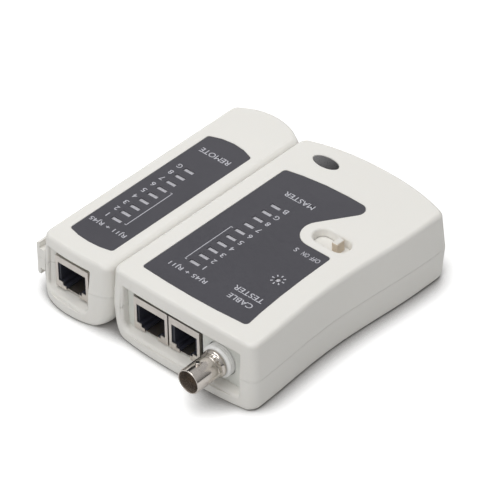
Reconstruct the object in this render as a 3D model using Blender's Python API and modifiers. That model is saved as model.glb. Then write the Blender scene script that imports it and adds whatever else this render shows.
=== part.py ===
"""Network cable tester: a main unit with two modular jacks, a coaxial jack, a three-place slide
switch and a sliding battery door, and a remote unit that docks on the main unit's left side.

Run it with: blender --background --python part.py

Lengths in this file are millimetres, and every mesh is made in metres. In the design frame
x = 0 is the seam between the two units, y = 0 is the plane of the port ends (plugs leave
towards -Y) and z = 0 is the table. The empty "tester_frame" carries the whole object, so that
the middle of the main unit's base lies at the world's origin.
"""

import math
from dataclasses import dataclass

import bmesh
import bpy
from mathutils import Vector

MM = 0.001
ORIGIN_X, ORIGIN_Y = 33.5, 52.0  # middle of the main unit's base, in the design frame

# Driving dimensions --------------------------------------------------------------------
WALL = 2.0
GAP = 0.3  # between neighbouring pieces
PARTING_GAP = 0.3  # groove between the two halves of a case
DRAFT = 1.0  # each side leans in this much from the parting line to the top or the base
TOP_ROUND = 1.6

LED_PITCH = 4.68
LED_LENGTH, LED_WIDTH = 5.0, 2.0
WINDOW_LENGTH, WINDOW_WIDTH = 4.5, 1.7
LABEL_THICK = 0.3
LABEL_POCKET = 0.45
BOARD_THICK = 1.6

RAIL_NECK, RAIL_FLANGE = (9.0, 18.0), (6.4, 20.6)  # lowest and highest z
NECK_REACH, RAIL_REACH = 2.6, 4.4  # from the side of the remote's case
FREE_NECK_REACH, FREE_RAIL_REACH = 1.5, 2.9  # the same for the free rail on its left
RAIL_END = 97.5

SWITCH_X, SWITCH_Y = 47.8, 62.6
SWITCH_FLARE = ((24.0, 15.0, 6.2), (26.6, 15.0, 6.2), (28.6, 15.9, 7.6), (31.0, 17.4, 9.8))
SWITCH_OFF = 50.7  # x of the knob's middle
SWITCH_TRAVEL = 8.0  # OFF, ON and S are the start, middle and end of it

BNC_X, BNC_Z = 50.0, 14.0
BARREL_RADIUS, COLLAR_RADIUS, BARREL_TIP = 4.85, 6.35, 14.4

DOOR_X = (9.3, 59.1)
DOOR_FRONT = 66.3
DOOR_WALL_X = (7.3, 61.1)
DOOR_WALL_Y, DOOR_WALL_TOP = 98.3, 5.7


@dataclass(frozen=True)
class Case:
    """The outside of one unit: plan at the parting line, side profile and port end."""

    left: float
    right: float
    back: float
    height: float
    parting: float
    back_bow: float  # how far the corners of the far end lie in front of its middle
    back_power: float
    waist: float  # how far the right side draws in
    port_bow: tuple  # how far the port end bows out, at its top and at its foot
    port_power: float
    foot: tuple  # (width, height) of the rounding at the base: left, right
    side_wall: float  # least thickness of the left side, which may hold the dock's slot
    port_wall: float  # from y = 0 to the inside of the port end

    @property
    def middle(self):
        return (self.left + self.right) / 2

    @property
    def half(self):
        return (self.right - self.left) / 2


MAIN = Case(
    left=-0.9, right=68.0, back=107.3, height=29.2, parting=13.5,
    back_bow=5.6, back_power=2.3, waist=2.45, port_bow=(0.4, 2.8), port_power=3.0,
    foot=((4.0, 6.0), (1.6, 2.2)), side_wall=5.9, port_wall=4.7,
)
REMOTE = Case(
    left=-35.1, right=-1.2, back=107.2, height=27.0, parting=14.0,
    back_bow=5.5, back_power=2.1, waist=0.0, port_bow=(1.0, 5.0), port_power=2.2,
    foot=((4.0, 5.5), (4.5, 7.0)), side_wall=2.0, port_wall=2.4,
)
WAIST_Y, WAIST_SPAN = 44.0, 48.0
CORNER_RADIUS, ROOM_RADIUS = 3.2, 1.2
PORT_END_ROUND = (1.2, 1.5)
BACK_END_ROUND = (2.0, 3.0)

MAIN_RECESS = (7.3, 61.0, 5.2, 23.2)  # x and z of the port recess
REMOTE_RECESS = (-28.9, -11.2, 5.6, 21.6)
RECESS_DEPTH = 4.7
PANEL_Y = 2.6  # front face of the panel around the main unit's jacks
MAIN_BOARD = (5.4, 62.4, 7.0, 66.2, 20.2)  # x, x, y, y, underside
REMOTE_BOARD = (-30.0, -4.4, 3.0, 70.0, 20.7)
MAIN_LEDS = (20.0, 21.55, ("1", "2", "3", "4", "5", "6", "7", "8", "g", "b"))
REMOTE_LEDS = (-19.4, 23.0, ("1", "2", "3", "4", "5", "6", "7", "8", "g"))
POWER_LED = (48.3, 33.75)

MAIN_SCREWS = ((8.6, 31.0), (59.6, 29.0), (8.6, 52.0), (59.6, 52.0))
REMOTE_SCREWS = ((-12.4, 31.0), (-17.15, 88.0))
LOWER_BOSS, UPPER_BOSS, SCREW_HOLE, SCREW_CORE = 4.2, 3.0, 1.7, 1.35
HEAD_RADIUS, HEAD_SEAT = 2.6, 5.0

# Label outlines: x, y and corner radius at each corner or slight bend
MAIN_LABEL = (
    (7.7, 7.9, 1.2), (20.0, 7.3, 0), (32.0, 7.1, 0), (44.0, 7.4, 0), (56.9, 8.3, 1.5),
    (55.9, 16.0, 0), (55.0, 27.0, 0), (54.4, 40.0, 0), (54.2, 54.8, 1.3),
    (28.6, 54.8, 7.5), (48.8, 84.9, 3.6), (35.0, 85.2, 0), (25.0, 84.8, 0),
    (15.0, 83.5, 0), (7.9, 81.9, 1.5),
)
REMOTE_LABEL = (
    (-28.6, 8.9, 1.2), (-23.5, 7.7, 0), (-18.3, 7.3, 0), (-13.0, 7.7, 0), (-8.0, 8.9, 1.2),
    (-7.8, 80.9, 1.2), (-13.0, 82.7, 0), (-18.3, 83.2, 0), (-23.5, 82.5, 0),
    (-28.5, 80.6, 1.2),
)
BADGE_CENTRE, BADGE_SIZE = (16.1, 94.9), (11.4, 5.7)


@dataclass(frozen=True)
class Jack:
    """A shielded modular jack: its can, its opening and the cavity for the plug."""

    name: str
    body: str
    left: float
    right: float
    low: float
    high: float
    front: float
    depth: float
    opening: float  # half width of the window in the can
    cavity: float  # half width of the plug cavity
    latch: tuple  # half widths of the two steps for the plug's latch
    ways: int


RJ45 = Jack("main_rj45", "main", 8.5, 24.7, 5.9, 19.9, 2.0, 20.5, 6.8, 6.0, (4.7, 3.2), 8)
RJ11 = Jack("main_rj11", "main", 25.4, 40.0, 5.9, 19.9, 2.0, 18.0, 6.1, 5.0, (3.9, 2.5), 6)
REMOTE_RJ45 = Jack(
    "remote_rj45", "remote", -27.9, -11.7, 6.7, 20.4, -0.2, 20.5, 6.8, 6.0, (4.7, 3.2), 8
)
SHEET = 0.3
PLUG_DEPTH = 14.0
CONTACT_PITCH, CONTACT_THICK = 1.02, 0.35

# Scene, materials and placing ----------------------------------------------------------


def clear_scene():
    for obj in list(bpy.data.objects):
        bpy.data.objects.remove(obj, do_unlink=True)


def new_collection(name):
    collection = bpy.data.collections.new(name)
    bpy.context.scene.collection.children.link(collection)
    return collection


def new_empty(name, location=(0, 0, 0), parent=None):
    """An empty that carries one body. Its location is in millimetres of the design frame."""
    empty = bpy.data.objects.new(name, None)
    PARTS.objects.link(empty)
    empty.location = Vector(location) * MM
    empty.parent = parent
    return empty


def new_material(name, colour, roughness, metallic=0.0):
    material = bpy.data.materials.new(name)
    material.use_nodes = True
    shader = material.node_tree.nodes["Principled BSDF"]
    shader.inputs["Base Color"].default_value = (*colour, 1.0)
    shader.inputs["Roughness"].default_value = roughness
    shader.inputs["Metallic"].default_value = metallic
    material.diffuse_color = (*colour, 1.0)
    return material


def place(name, mesh, material=None, body="main", at=(0, 0, 0), turn=(0, 0, 0)):
    """Makes the mesh a part, or a helper for Booleans where it has no material."""
    obj = bpy.data.objects.new(name, mesh)
    if material is None:
        HELPERS.objects.link(obj)
        obj.hide_render = True
        obj.display_type = "WIRE"
    else:
        PARTS.objects.link(obj)
        mesh.materials.append(material)
        mesh.shade_smooth()
        mesh.set_sharp_from_angle(angle=math.radians(35))
    obj.parent = BODIES[body]
    obj.location = Vector(at) * MM
    obj.rotation_euler = turn
    return obj


def mesh_of(name, bm):
    bmesh.ops.recalc_face_normals(bm, faces=bm.faces)
    mesh = bpy.data.meshes.new(name)
    bm.to_mesh(mesh)
    bm.free()
    return mesh


def box(name, low, high, material=None, body="main"):
    low, high = Vector(low), Vector(high)
    bm = bmesh.new()
    bmesh.ops.create_cube(bm, size=1.0)
    bmesh.ops.scale(bm, vec=(high - low) * MM, verts=bm.verts)
    return place(name, mesh_of(name, bm), material, body, at=(low + high) / 2)


def cylinder(name, centre, radius, low, high, material=None, body="main", axis="Z", sides=20):
    """A cylinder from low to high along its axis, through centre on the other two axes."""
    bm = bmesh.new()
    bmesh.ops.create_cone(
        bm, cap_ends=True, segments=sides, depth=(high - low) * MM,
        radius1=radius * MM, radius2=radius * MM,
    )
    middle = (low + high) / 2
    if axis == "Z":
        return place(name, mesh_of(name, bm), material, body, at=(*centre, middle))
    at = (centre[0], middle, centre[1])
    return place(name, mesh_of(name, bm), material, body, at=at, turn=(math.pi / 2, 0, 0))


def mesh_from_curve(name, curve):
    """The curve's mesh with its caps welded on. The curve goes."""
    drawn = bpy.data.objects.new(name + "_curve", curve)
    mesh = bpy.data.meshes.new_from_object(drawn)
    bpy.data.objects.remove(drawn, do_unlink=True)
    bm = bmesh.new()
    bm.from_mesh(mesh)
    bpy.data.meshes.remove(mesh)
    bmesh.ops.remove_doubles(bm, verts=bm.verts, dist=1e-6)
    if len(curve.splines) == 1:
        bmesh.ops.dissolve_limit(bm, angle_limit=0.001, verts=bm.verts, edges=bm.edges)
    return mesh_of(name, bm)


def plate(name, outlines, low, high, material=None, body="main", axis="Z"):
    """A flat outline, with further outlines as its holes, as thick as from low to high.

    Along Z the outline is (x, y). Along Y it is (x, z).
    """
    curve = bpy.data.curves.new(name, "CURVE")
    curve.dimensions = "2D"
    curve.fill_mode = "BOTH"
    curve.extrude = (high - low) / 2 * MM
    for outline in outlines:
        spline = curve.splines.new("POLY")
        spline.points.add(len(outline) - 1)
        for point, (u, v) in zip(spline.points, outline):
            point.co = (u * MM, v * MM, 0.0, 1.0)
        spline.use_cyclic_u = True
    mesh = mesh_from_curve(name, curve)
    middle = (low + high) / 2
    if axis == "Z":
        return place(name, mesh, material, body, at=(0, 0, middle))
    return place(name, mesh, material, body, at=(0, middle, 0), turn=(math.pi / 2, 0, 0))


def turned(name, profile, at, material=None, body="main", axis="Z", sides=24):
    """A closed profile of (radius, height) points turned about the height axis.

    Height runs up for axis Z and towards the plug side, -Y, for axis Y.
    """
    bm = bmesh.new()
    points = [bm.verts.new((radius * MM, 0.0, height * MM)) for radius, height in profile]
    edges = [bm.edges.new(pair) for pair in zip(points, points[1:])]
    if profile[0][0] > 0.0:
        edges.append(bm.edges.new((points[-1], points[0])))
    bmesh.ops.spin(
        bm, geom=points + edges, cent=(0, 0, 0), axis=(0, 0, 1), angle=2 * math.pi,
        steps=sides, use_merge=True,
    )
    bmesh.ops.remove_doubles(bm, verts=bm.verts, dist=1e-6)
    bmesh.ops.triangulate(bm, faces=bm.faces)
    turn = (0, 0, 0) if axis == "Z" else (math.pi / 2, 0, 0)
    return place(name, mesh_of(name, bm), material, body, at=at, turn=turn)


def loft(name, rings, material=None, body="main"):
    """A solid through rings of equally many points, capped at both ends."""
    bm = bmesh.new()
    rows = [[bm.verts.new(Vector(point) * MM) for point in ring] for ring in rings]
    for lower, upper in zip(rows, rows[1:]):
        for i in range(len(lower)):
            j = (i + 1) % len(lower)
            bm.faces.new((lower[i], lower[j], upper[j], upper[i]))
    bmesh.ops.triangulate(bm, faces=bm.faces)  # so that every face is truly flat
    bm.faces.new(rows[0])
    bm.faces.new(rows[-1])
    return place(name, mesh_of(name, bm), material, body)


def boolean(obj, operation, helpers):
    """One exact Boolean with a helper, or with a collection of several."""
    modifier = obj.modifiers.new(operation.title(), "BOOLEAN")
    modifier.operation = operation
    modifier.solver = "EXACT"
    if len(helpers) == 1:
        modifier.object = helpers[0]
        return
    group = bpy.data.collections.new(f"{obj.name}_{operation.lower()}_{len(obj.modifiers)}")
    HELPERS.children.link(group)
    for helper in helpers:
        group.objects.link(helper)
        HELPERS.objects.unlink(helper)
    modifier.operand_type = "COLLECTION"
    modifier.collection = group


def cut(obj, *helpers):
    boolean(obj, "DIFFERENCE", helpers)


def join(obj, *helpers):
    boolean(obj, "UNION", helpers)


def bevel(obj, width, segments=1):
    modifier = obj.modifiers.new("Bevel", "BEVEL")
    modifier.width = width * MM
    modifier.segments = segments
    modifier.limit_method = "ANGLE"
    modifier.angle_limit = math.radians(40)


# Outlines ------------------------------------------------------------------------------


def rounded(corners, steps=4):
    """The outline through (x, y, radius) corners, each one with a radius made an arc."""
    outline = []
    for i, (x, y, radius) in enumerate(corners):
        corner = Vector((x, y))
        if not radius:
            outline.append((x, y))
            continue
        before = (Vector(corners[i - 1][:2]) - corner).normalized()
        after = (Vector(corners[(i + 1) % len(corners)][:2]) - corner).normalized()
        half = before.angle(after) / 2
        centre = corner + (before + after).normalized() * radius / math.sin(half)
        start = corner + before * radius / math.tan(half) - centre
        end = corner + after * radius / math.tan(half) - centre
        for k in range(steps + 1):
            spoke = start.normalized().slerp(end.normalized(), k / steps)
            outline.append(tuple(centre + spoke * radius))
    return outline


def rectangle(left, right, low, high, radius=0.0):
    corners = ((left, low), (right, low), (right, high), (left, high))
    return rounded([(x, y, radius) for x, y in corners])


def stadium(centre, length, width, steps=8):
    """An oblong with round ends, long in x."""
    x, y = centre
    radius, reach = width / 2, (length - width) / 2
    outline = []
    for side, start in ((1, -math.pi / 2), (-1, math.pi / 2)):
        for k in range(steps + 1):
            angle = start + math.pi * k / steps
            outline.append(
                (x + side * reach + radius * math.cos(angle), y + radius * math.sin(angle))
            )
    return outline


def ellipse(centre, length, width, steps=28):
    turns = [2 * math.pi * k / steps for k in range(steps)]
    return [
        (centre[0] + length / 2 * math.cos(a), centre[1] + width / 2 * math.sin(a))
        for a in turns
    ]


def grown(outline, by):
    """The outline moved outwards by a small distance, corner by corner."""
    points = [Vector(p) for p in outline]
    moved = []
    for i, point in enumerate(points):
        along = (points[(i + 1) % len(points)] - points[i - 1]).normalized()
        moved.append(tuple(point + Vector((along.y, -along.x)) * by))
    return moved


# Case form -----------------------------------------------------------------------------


def waist_at(case, y):
    reach = min(1.0, abs(y - WAIST_Y) / WAIST_SPAN)
    return case.waist * math.cos(math.pi / 2 * reach) ** 2


def back_at(case, x):
    share = min(1.0, abs(x - case.middle) / case.half)
    return case.back - case.back_bow * share**case.back_power


def plan(case, radius=CORNER_RADIUS, side_points=9, end_points=9):
    """The case's outline at its parting line, anticlockwise from the port end's left."""
    margin = CORNER_RADIUS + 2.5

    def spread(start, end, count):
        return [start + (end - start) * (k + 0.5) / count for k in range(count)]

    corners = [(case.left, 0.0, radius)]
    for x in spread(case.left + margin, case.right - margin, end_points):
        corners.append((x, 0.0, 0))
    corners.append((case.right, 0.0, radius))
    last = back_at(case, case.right)
    if case.waist:
        for y in spread(margin, last - margin, side_points):
            corners.append((case.right - waist_at(case, y), y, 0))
    corners.append((case.right, last, radius))
    for x in spread(case.right - margin, case.left + margin, end_points):
        corners.append((x, back_at(case, x), 0))
    corners.append((case.left, back_at(case, case.left), radius))
    return rounded(corners)


def quarter_round(width, height, rise):
    """How far a rounding of this width and height draws in at a height above its foot."""
    if rise >= height:
        return 0.0
    share = 1.0 - rise / height
    return width * (1.0 - math.sqrt(max(0.0, 1.0 - share * share)))


def side_inset(case, z, foot):
    """How far a side lies inside its widest place, at height z."""
    if z > case.parting:
        lean = DRAFT * (z - case.parting) / (case.height - case.parting)
    else:
        lean = DRAFT * (case.parting - z) / case.parting
    top = quarter_round(TOP_ROUND, TOP_ROUND, case.height - z)
    return lean + top + quarter_round(foot[0], foot[1], z)


def port_bow_at(case, x, z):
    """How far the port end stands out in front of y = 0."""
    top, foot = case.port_bow
    drop = min(1.0, max(0.0, (case.height - z) / (case.height - 3.0)))
    share = min(1.0, abs(x - case.middle) / case.half)
    return (top + (foot - top) * drop) * (1.0 - share**case.port_power)


def fitted(case, outline, z, left, right, front, back):
    """The case's plan stretched to these four sides."""
    return [
        (
            left + (x - case.left) / (case.right - case.left) * (right - left),
            front + y / case.back * (back - front),
            z,
        )
        for x, y in outline
    ]


def ring(case, z):
    """The case's outline at height z."""
    left = case.left + side_inset(case, z, case.foot[0])
    right = case.right - side_inset(case, z, case.foot[1])
    front = side_inset(case, z, PORT_END_ROUND) * 0.6
    back = case.back - side_inset(case, z, BACK_END_ROUND)
    outline = fitted(case, plan(case), z, left, right, front, back)
    return [
        (x, y - port_bow_at(case, x, z) * max(0.0, 1.0 - (y - front) / 4.0), z)
        for x, y, z in outline
    ]


def cavity_ring(case, z):
    """The outline of the room inside the case at height z."""
    left = case.left + max(case.side_wall, side_inset(case, z, case.foot[0]) + WALL)
    right = case.right - side_inset(case, z, case.foot[1]) - WALL
    back = case.back - side_inset(case, z, BACK_END_ROUND) - WALL
    return fitted(case, plan(case, ROOM_RADIUS), z, left, right, case.port_wall, back)


def heights(case, low, high):
    """The heights where the profile needs a ring."""
    foot = max(case.foot[0][1], case.foot[1][1])
    marks = [0.0, 0.06 * foot, 0.2 * foot, 0.45 * foot, foot, case.parting]
    marks += [case.height - TOP_ROUND * share for share in (1.0, 0.5, 0.15, 0.0)]
    return sorted({low, high, *(z for z in marks if low + 0.4 < z < high - 0.1)})


def case_half(name, case, upper, material, body):
    """One half of the case as a solid, then hollowed by its share of the cavity."""
    seam = case.parting + (PARTING_GAP / 2 if upper else -PARTING_GAP / 2)
    low, high = (seam, case.height) if upper else (0.0, seam)
    shell = loft(name, [ring(case, z) for z in heights(case, low, high)], material, body)
    if upper:
        marks = (seam - 1.0, case.height - WALL - 2.0, case.height - WALL - 0.2)
    else:
        marks = (WALL, 4.0, 7.0, seam + 1.0)
    cut(shell, loft(name + "_cavity", [cavity_ring(case, z) for z in marks], body=body))
    return shell


def recess_cutter(name, case, recess, body):
    left, right, low, high = recess
    radius = 2.0 if case is MAIN else 1.0
    corners = (
        (left, low, radius), (right, low, radius), (right, high, 0.8), (left, high, 0.8)
    )
    return plate(name, [rounded(corners)], -8.0, RECESS_DEPTH + 1.0, body=body, axis="Y")


def label_pocket(name, outline, case, body):
    edge = grown(rounded(outline), 0.15)
    return plate(name, [edge], case.height - LABEL_POCKET, case.height + 2.0, body=body)


def led_places(leds):
    x, first, names = leds
    return [(name, x, first + LED_PITCH * i) for i, name in enumerate(names)]


def led_windows(prefix, leds, case, body):
    """Cutters that let each lamp stand up through the top of the case."""
    length, width = LED_LENGTH / 2 + 0.2, LED_WIDTH / 2 + 0.2
    return [
        box(
            f"{prefix}_window_{name}",
            (x - length, y - width, case.height - WALL - 3.0),
            (x + length, y + width, case.height + 1.0),
            body=body,
        )
        for name, x, y in led_places(leds)
    ]


# Cases ---------------------------------------------------------------------------------


def dock_slot():
    """The T-shaped slot that the remote's rail slides along, open at the far end."""
    neck = (RAIL_NECK[0] - GAP, RAIL_NECK[1] + GAP)
    flange = (RAIL_FLANGE[0] - GAP, RAIL_FLANGE[1] + GAP)
    lip = REMOTE.right + NECK_REACH - GAP
    end = REMOTE.right + RAIL_REACH + GAP
    outline = [
        (-6.0, neck[0]), (lip, neck[0]), (lip, flange[0]), (end, flange[0]),
        (end, flange[1]), (lip, flange[1]), (lip, neck[1]), (-6.0, neck[1]),
    ]
    return outline


def make_main_top(material):
    name = "main_top_shell"
    case = MAIN
    seam = case.parting + PARTING_GAP / 2
    shell = case_half(name, case, True, material, "main")
    bosses = [
        cylinder(f"{name}_boss_{i}", at, UPPER_BOSS, seam, case.height - WALL + 0.5)
        for i, at in enumerate(MAIN_SCREWS)
    ]
    join(shell, *bosses)
    centre = (SWITCH_X, SWITCH_Y)
    collar = stadium(centre, 18.0, 10.6)
    join(shell, plate(f"{name}_collar", [collar], 26.3, case.height - WALL + 0.5))
    cut(shell, plate(f"{name}_dock", [dock_slot()], 2.4, 130.0, axis="Y"))
    cut(shell, recess_cutter(f"{name}_recess", case, MAIN_RECESS, "main"))
    flare = [
        [(x, y, z) for x, y in stadium(centre, length, width)]
        for z, length, width in SWITCH_FLARE
    ]
    cut(shell, loft(f"{name}_switch_opening", flare))
    cut(shell, label_pocket(f"{name}_label_pocket", MAIN_LABEL, case, "main"))
    badge = ellipse(BADGE_CENTRE, BADGE_SIZE[0] + 0.3, BADGE_SIZE[1] + 0.3)
    cut(shell, plate(f"{name}_badge_pocket", [badge], case.height - LABEL_POCKET, 31.0))
    cut(shell, *led_windows(name, MAIN_LEDS, case, "main"))
    cut(shell, cylinder(f"{name}_power_hole", POWER_LED, 1.3, 25.0, 31.0, sides=16))
    cores = [
        cylinder(f"{name}_core_{i}", at, SCREW_CORE + 0.2, seam - 1.0, 21.5, sides=12)
        for i, at in enumerate(MAIN_SCREWS)
    ]
    cut(shell, *cores)


def door_solids(prefix, spare):
    """The two boxes that share the door out of the case's floor and far wall."""
    floor = box(
        f"{prefix}_floor", (DOOR_X[0] - spare, DOOR_FRONT - spare, -1.0),
        (DOOR_X[1] + spare, 130.0, DOOR_WALL_TOP + spare),
    )
    wall = box(
        f"{prefix}_wall", (DOOR_WALL_X[0] - spare, DOOR_WALL_Y - spare, -1.0),
        (DOOR_WALL_X[1] + spare, 131.0, DOOR_WALL_TOP + spare),
    )
    return floor, wall


def screw_holes(prefix, places, body):
    """Cutters for the screws' shanks and for their sunk heads."""
    found = []
    for i, at in enumerate(places):
        found.append(
            cylinder(f"{prefix}_shank_{i}", at, SCREW_HOLE, 3.0, 16.0, body=body, sides=12)
        )
        found.append(
            cylinder(f"{prefix}_head_{i}", at, HEAD_RADIUS + GAP, -1.0, HEAD_SEAT, body=body)
        )
    return found


def make_main_bottom(material):
    name = "main_bottom_shell"
    seam = MAIN.parting - PARTING_GAP / 2
    shell = case_half(name, MAIN, False, material, "main")
    bosses = [
        cylinder(f"{name}_boss_{i}", at, LOWER_BOSS, WALL - 0.5, seam)
        for i, at in enumerate(MAIN_SCREWS)
    ]
    join(shell, *bosses)
    join(
        shell,
        box(f"{name}_bay_front", (10.0, 64.4, WALL - 0.5), (61.0, 65.8, 12.9)),
        box(f"{name}_bay_side", (61.7, 72.0, WALL - 0.5), (62.9, 94.0, 12.7)),
    )
    cut(shell, plate(f"{name}_dock", [dock_slot()], 2.4, 130.0, axis="Y"))
    cut(shell, recess_cutter(f"{name}_recess", MAIN, MAIN_RECESS, "main"))
    for opening in door_solids(f"{name}_opening", GAP):
        cut(shell, opening)
    cut(shell, *screw_holes(name, MAIN_SCREWS, "main"))


def make_battery_door(material):
    """The door is the piece of floor and far wall that its two boxes take from the case."""
    body = "door"
    rings = [ring(MAIN, z) for z in heights(MAIN, 0.0, 9.0)]
    door = loft("battery_door", rings, material, body)
    cavity_rings = [cavity_ring(MAIN, z) for z in (WALL, 4.0, 7.0, 12.0)]
    cut(door, loft("battery_door_cavity", cavity_rings, body=body))
    floor, wall = door_solids("battery_door", 0.0)
    join(floor, wall)
    boolean(door, "INTERSECT", [floor])
    left, right = DOOR_X
    tongue_low, tongue_high = WALL + GAP, 3.6
    for side, riser, tongue in (
        ("left", (left, left + 0.9), (DOOR_WALL_X[0] + 0.1, left + 0.5)),
        ("right", (right - 0.6, right), (right - 0.3, DOOR_WALL_X[1] - 0.1)),
    ):
        join(
            door,
            box(f"door_riser_{side}", (riser[0], 70.0, 1.5), (riser[1], 97.0, tongue_high), body=body),
        )
        join(
            door,
            box(
                f"door_tongue_{side}", (tongue[0], 70.0, tongue_low),
                (tongue[1], 97.0, tongue_high), body=body,
            ),
        )
    grips = [
        box(f"door_grip_{i}", (27.0, 71.0 + 1.9 * i, -1.0), (40.0, 72.0 + 1.9 * i, 0.5), body=body)
        for i in range(5)
    ]
    cut(door, *grips)


def rail_outline(side, out):
    """The T rail's section in x and z, on the side that faces out."""
    root = side - out * 1.6
    reaches = (NECK_REACH, RAIL_REACH) if out > 0 else (FREE_NECK_REACH, FREE_RAIL_REACH)
    neck, reach = (side + out * far for far in reaches)
    return [
        (root, RAIL_NECK[0]), (neck, RAIL_NECK[0]), (neck, RAIL_FLANGE[0]),
        (reach, RAIL_FLANGE[0]), (reach, RAIL_FLANGE[1]), (neck, RAIL_FLANGE[1]),
        (neck, RAIL_NECK[1]), (root, RAIL_NECK[1]),
    ]


def half_of(outline, seam, upper):
    """The part of a rail's outline above or below the seam."""
    kept = [(x, max(z, seam) if upper else min(z, seam)) for x, z in outline]
    tidy = []
    for point in kept:
        if point not in tidy:
            tidy.append(point)
    on_seam = [p for p in tidy if p[1] == seam]
    ends = (min(on_seam), max(on_seam))
    return [p for p in tidy if p[1] != seam or p in ends]


def add_rails(shell, upper):
    step = PARTING_GAP / 2 + 0.05
    seam = REMOTE.parting + (step if upper else -step)
    for name, side, out, start in (
        ("left", REMOTE.left, -1, 0.8),
        ("right", REMOTE.right, 1, 2.4 + GAP),
    ):
        outline = half_of(rail_outline(side, out), seam, upper)
        rail = plate(
            f"{shell.name}_rail_{name}", [outline], start, RAIL_END, body="remote", axis="Y"
        )
        join(shell, rail)


def make_remote_top(material):
    name = "remote_top_shell"
    seam = REMOTE.parting + PARTING_GAP / 2
    shell = case_half(name, REMOTE, True, material, "remote")
    bosses = [
        cylinder(f"{name}_boss_{i}", at, 2.6, seam, REMOTE.height - WALL + 0.5, body="remote")
        for i, at in enumerate(REMOTE_SCREWS)
    ]
    join(shell, *bosses)
    add_rails(shell, True)
    cut(shell, recess_cutter(f"{name}_recess", REMOTE, REMOTE_RECESS, "remote"))
    cut(shell, label_pocket(f"{name}_label_pocket", REMOTE_LABEL, REMOTE, "remote"))
    cut(shell, *led_windows(name, REMOTE_LEDS, REMOTE, "remote"))
    cores = [
        cylinder(
            f"{name}_core_{i}", at, SCREW_CORE + 0.2, seam - 1.0, 21.5, body="remote", sides=12
        )
        for i, at in enumerate(REMOTE_SCREWS)
    ]
    cut(shell, *cores)


def make_remote_bottom(material):
    name = "remote_bottom_shell"
    seam = REMOTE.parting - PARTING_GAP / 2
    shell = case_half(name, REMOTE, False, material, "remote")
    bosses = [
        cylinder(f"{name}_boss_{i}", at, LOWER_BOSS, WALL - 0.5, seam, body="remote")
        for i, at in enumerate(REMOTE_SCREWS)
    ]
    join(shell, *bosses)
    add_rails(shell, False)
    cut(shell, recess_cutter(f"{name}_recess", REMOTE, REMOTE_RECESS, "remote"))
    cut(shell, *screw_holes(name, REMOTE_SCREWS, "remote"))


# Labels, lamps and boards ---------------------------------------------------------------


def make_labels(ink):
    for name, case, outline, leds, body in (
        ("main_label", MAIN, MAIN_LABEL, MAIN_LEDS, "main"),
        ("remote_label", REMOTE, REMOTE_LABEL, REMOTE_LEDS, "remote"),
    ):
        outlines = [rounded(outline)]
        for _, x, y in led_places(leds):
            half, side = WINDOW_LENGTH / 2, WINDOW_WIDTH / 2
            outlines.append(rectangle(x - half, x + half, y - side, y + side))
        if body == "main":
            outlines.append(ellipse(POWER_LED, 2.2, 2.2, steps=16))
        low = case.height - LABEL_POCKET + 0.06
        plate(name, outlines, low, low + LABEL_THICK, ink, body)
    low = MAIN.height - LABEL_POCKET + 0.06
    badge = ellipse(BADGE_CENTRE, *BADGE_SIZE)
    plate("main_badge", [badge], low, low + LABEL_THICK, ink)


def make_lamps(lens):
    for prefix, case, board, leds, body in (
        ("main_led", MAIN, MAIN_BOARD, MAIN_LEDS, "main"),
        ("remote_led", REMOTE, REMOTE_BOARD, REMOTE_LEDS, "remote"),
    ):
        low = board[4] + BOARD_THICK + 0.1
        high = case.height - LABEL_POCKET - 0.1
        for name, x, y in led_places(leds):
            lamp = box(
                f"{prefix}_{name}", (x - LED_LENGTH / 2, y - LED_WIDTH / 2, low),
                (x + LED_LENGTH / 2, y + LED_WIDTH / 2, high), lens, body,
            )
            bevel(lamp, 0.15)
    low = MAIN_BOARD[4] + BOARD_THICK + 0.1
    dome = [(1.5 * math.cos(a), 3.4 + 1.5 * math.sin(a)) for a in (0.0, 0.5, 1.0)]
    profile = [(0.0, 4.9), *reversed(dome), (1.5, 1.0), (1.9, 1.0), (1.9, 0.0), (0.0, 0.0)]
    turned("power_led", profile, (*POWER_LED, low), lens, sides=16)


def make_boards(laminate):
    for name, board, places, body in (
        ("main_board", MAIN_BOARD, MAIN_SCREWS, "main"),
        ("remote_board", REMOTE_BOARD, REMOTE_SCREWS[:1], "remote"),
    ):
        left, right, front, back, low = board
        outline = rectangle(left, right, front, back, 1.0)
        made = plate(name, [outline], low, low + BOARD_THICK, laminate, body)
        holes = [
            cylinder(f"{name}_hole_{i}", at, UPPER_BOSS + 0.4, low - 1, low + 3, body=body)
            for i, at in enumerate(places)
        ]
        cut(made, *holes)


def make_chip(name, centre, size, pins, resin):
    """A surface-mounted chip: its body, with the leads of both sides joined to it."""
    x, y = centre
    length, width, thick = size
    low = MAIN_BOARD[4] + BOARD_THICK + 0.15
    chip = box(
        name, (x - width / 2, y - length / 2, low + 0.15),
        (x + width / 2, y + length / 2, low + thick), resin,
    )
    leads = []
    for i in range(pins // 2):
        middle = y + (i - (pins / 2 - 1) / 2) * 1.27
        for side in (-1, 1):
            near, knee, far = (x + side * (width / 2 + d) for d in (-0.3, 0.5, 1.3))
            top, foot = low + 1.15, low
            profile = [
                (near, top), (near, top - 0.25), (knee - side * 0.25, top - 0.25),
                (knee - side * 0.25, foot), (far, foot), (far, foot + 0.25),
                (knee, foot + 0.25), (knee, top),
            ]
            leads.append(
                plate(f"{name}_lead_{i}_{side}", [profile], middle - 0.2, middle + 0.2, axis="Y")
            )
    join(chip, *leads)


# Jacks ---------------------------------------------------------------------------------


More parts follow.
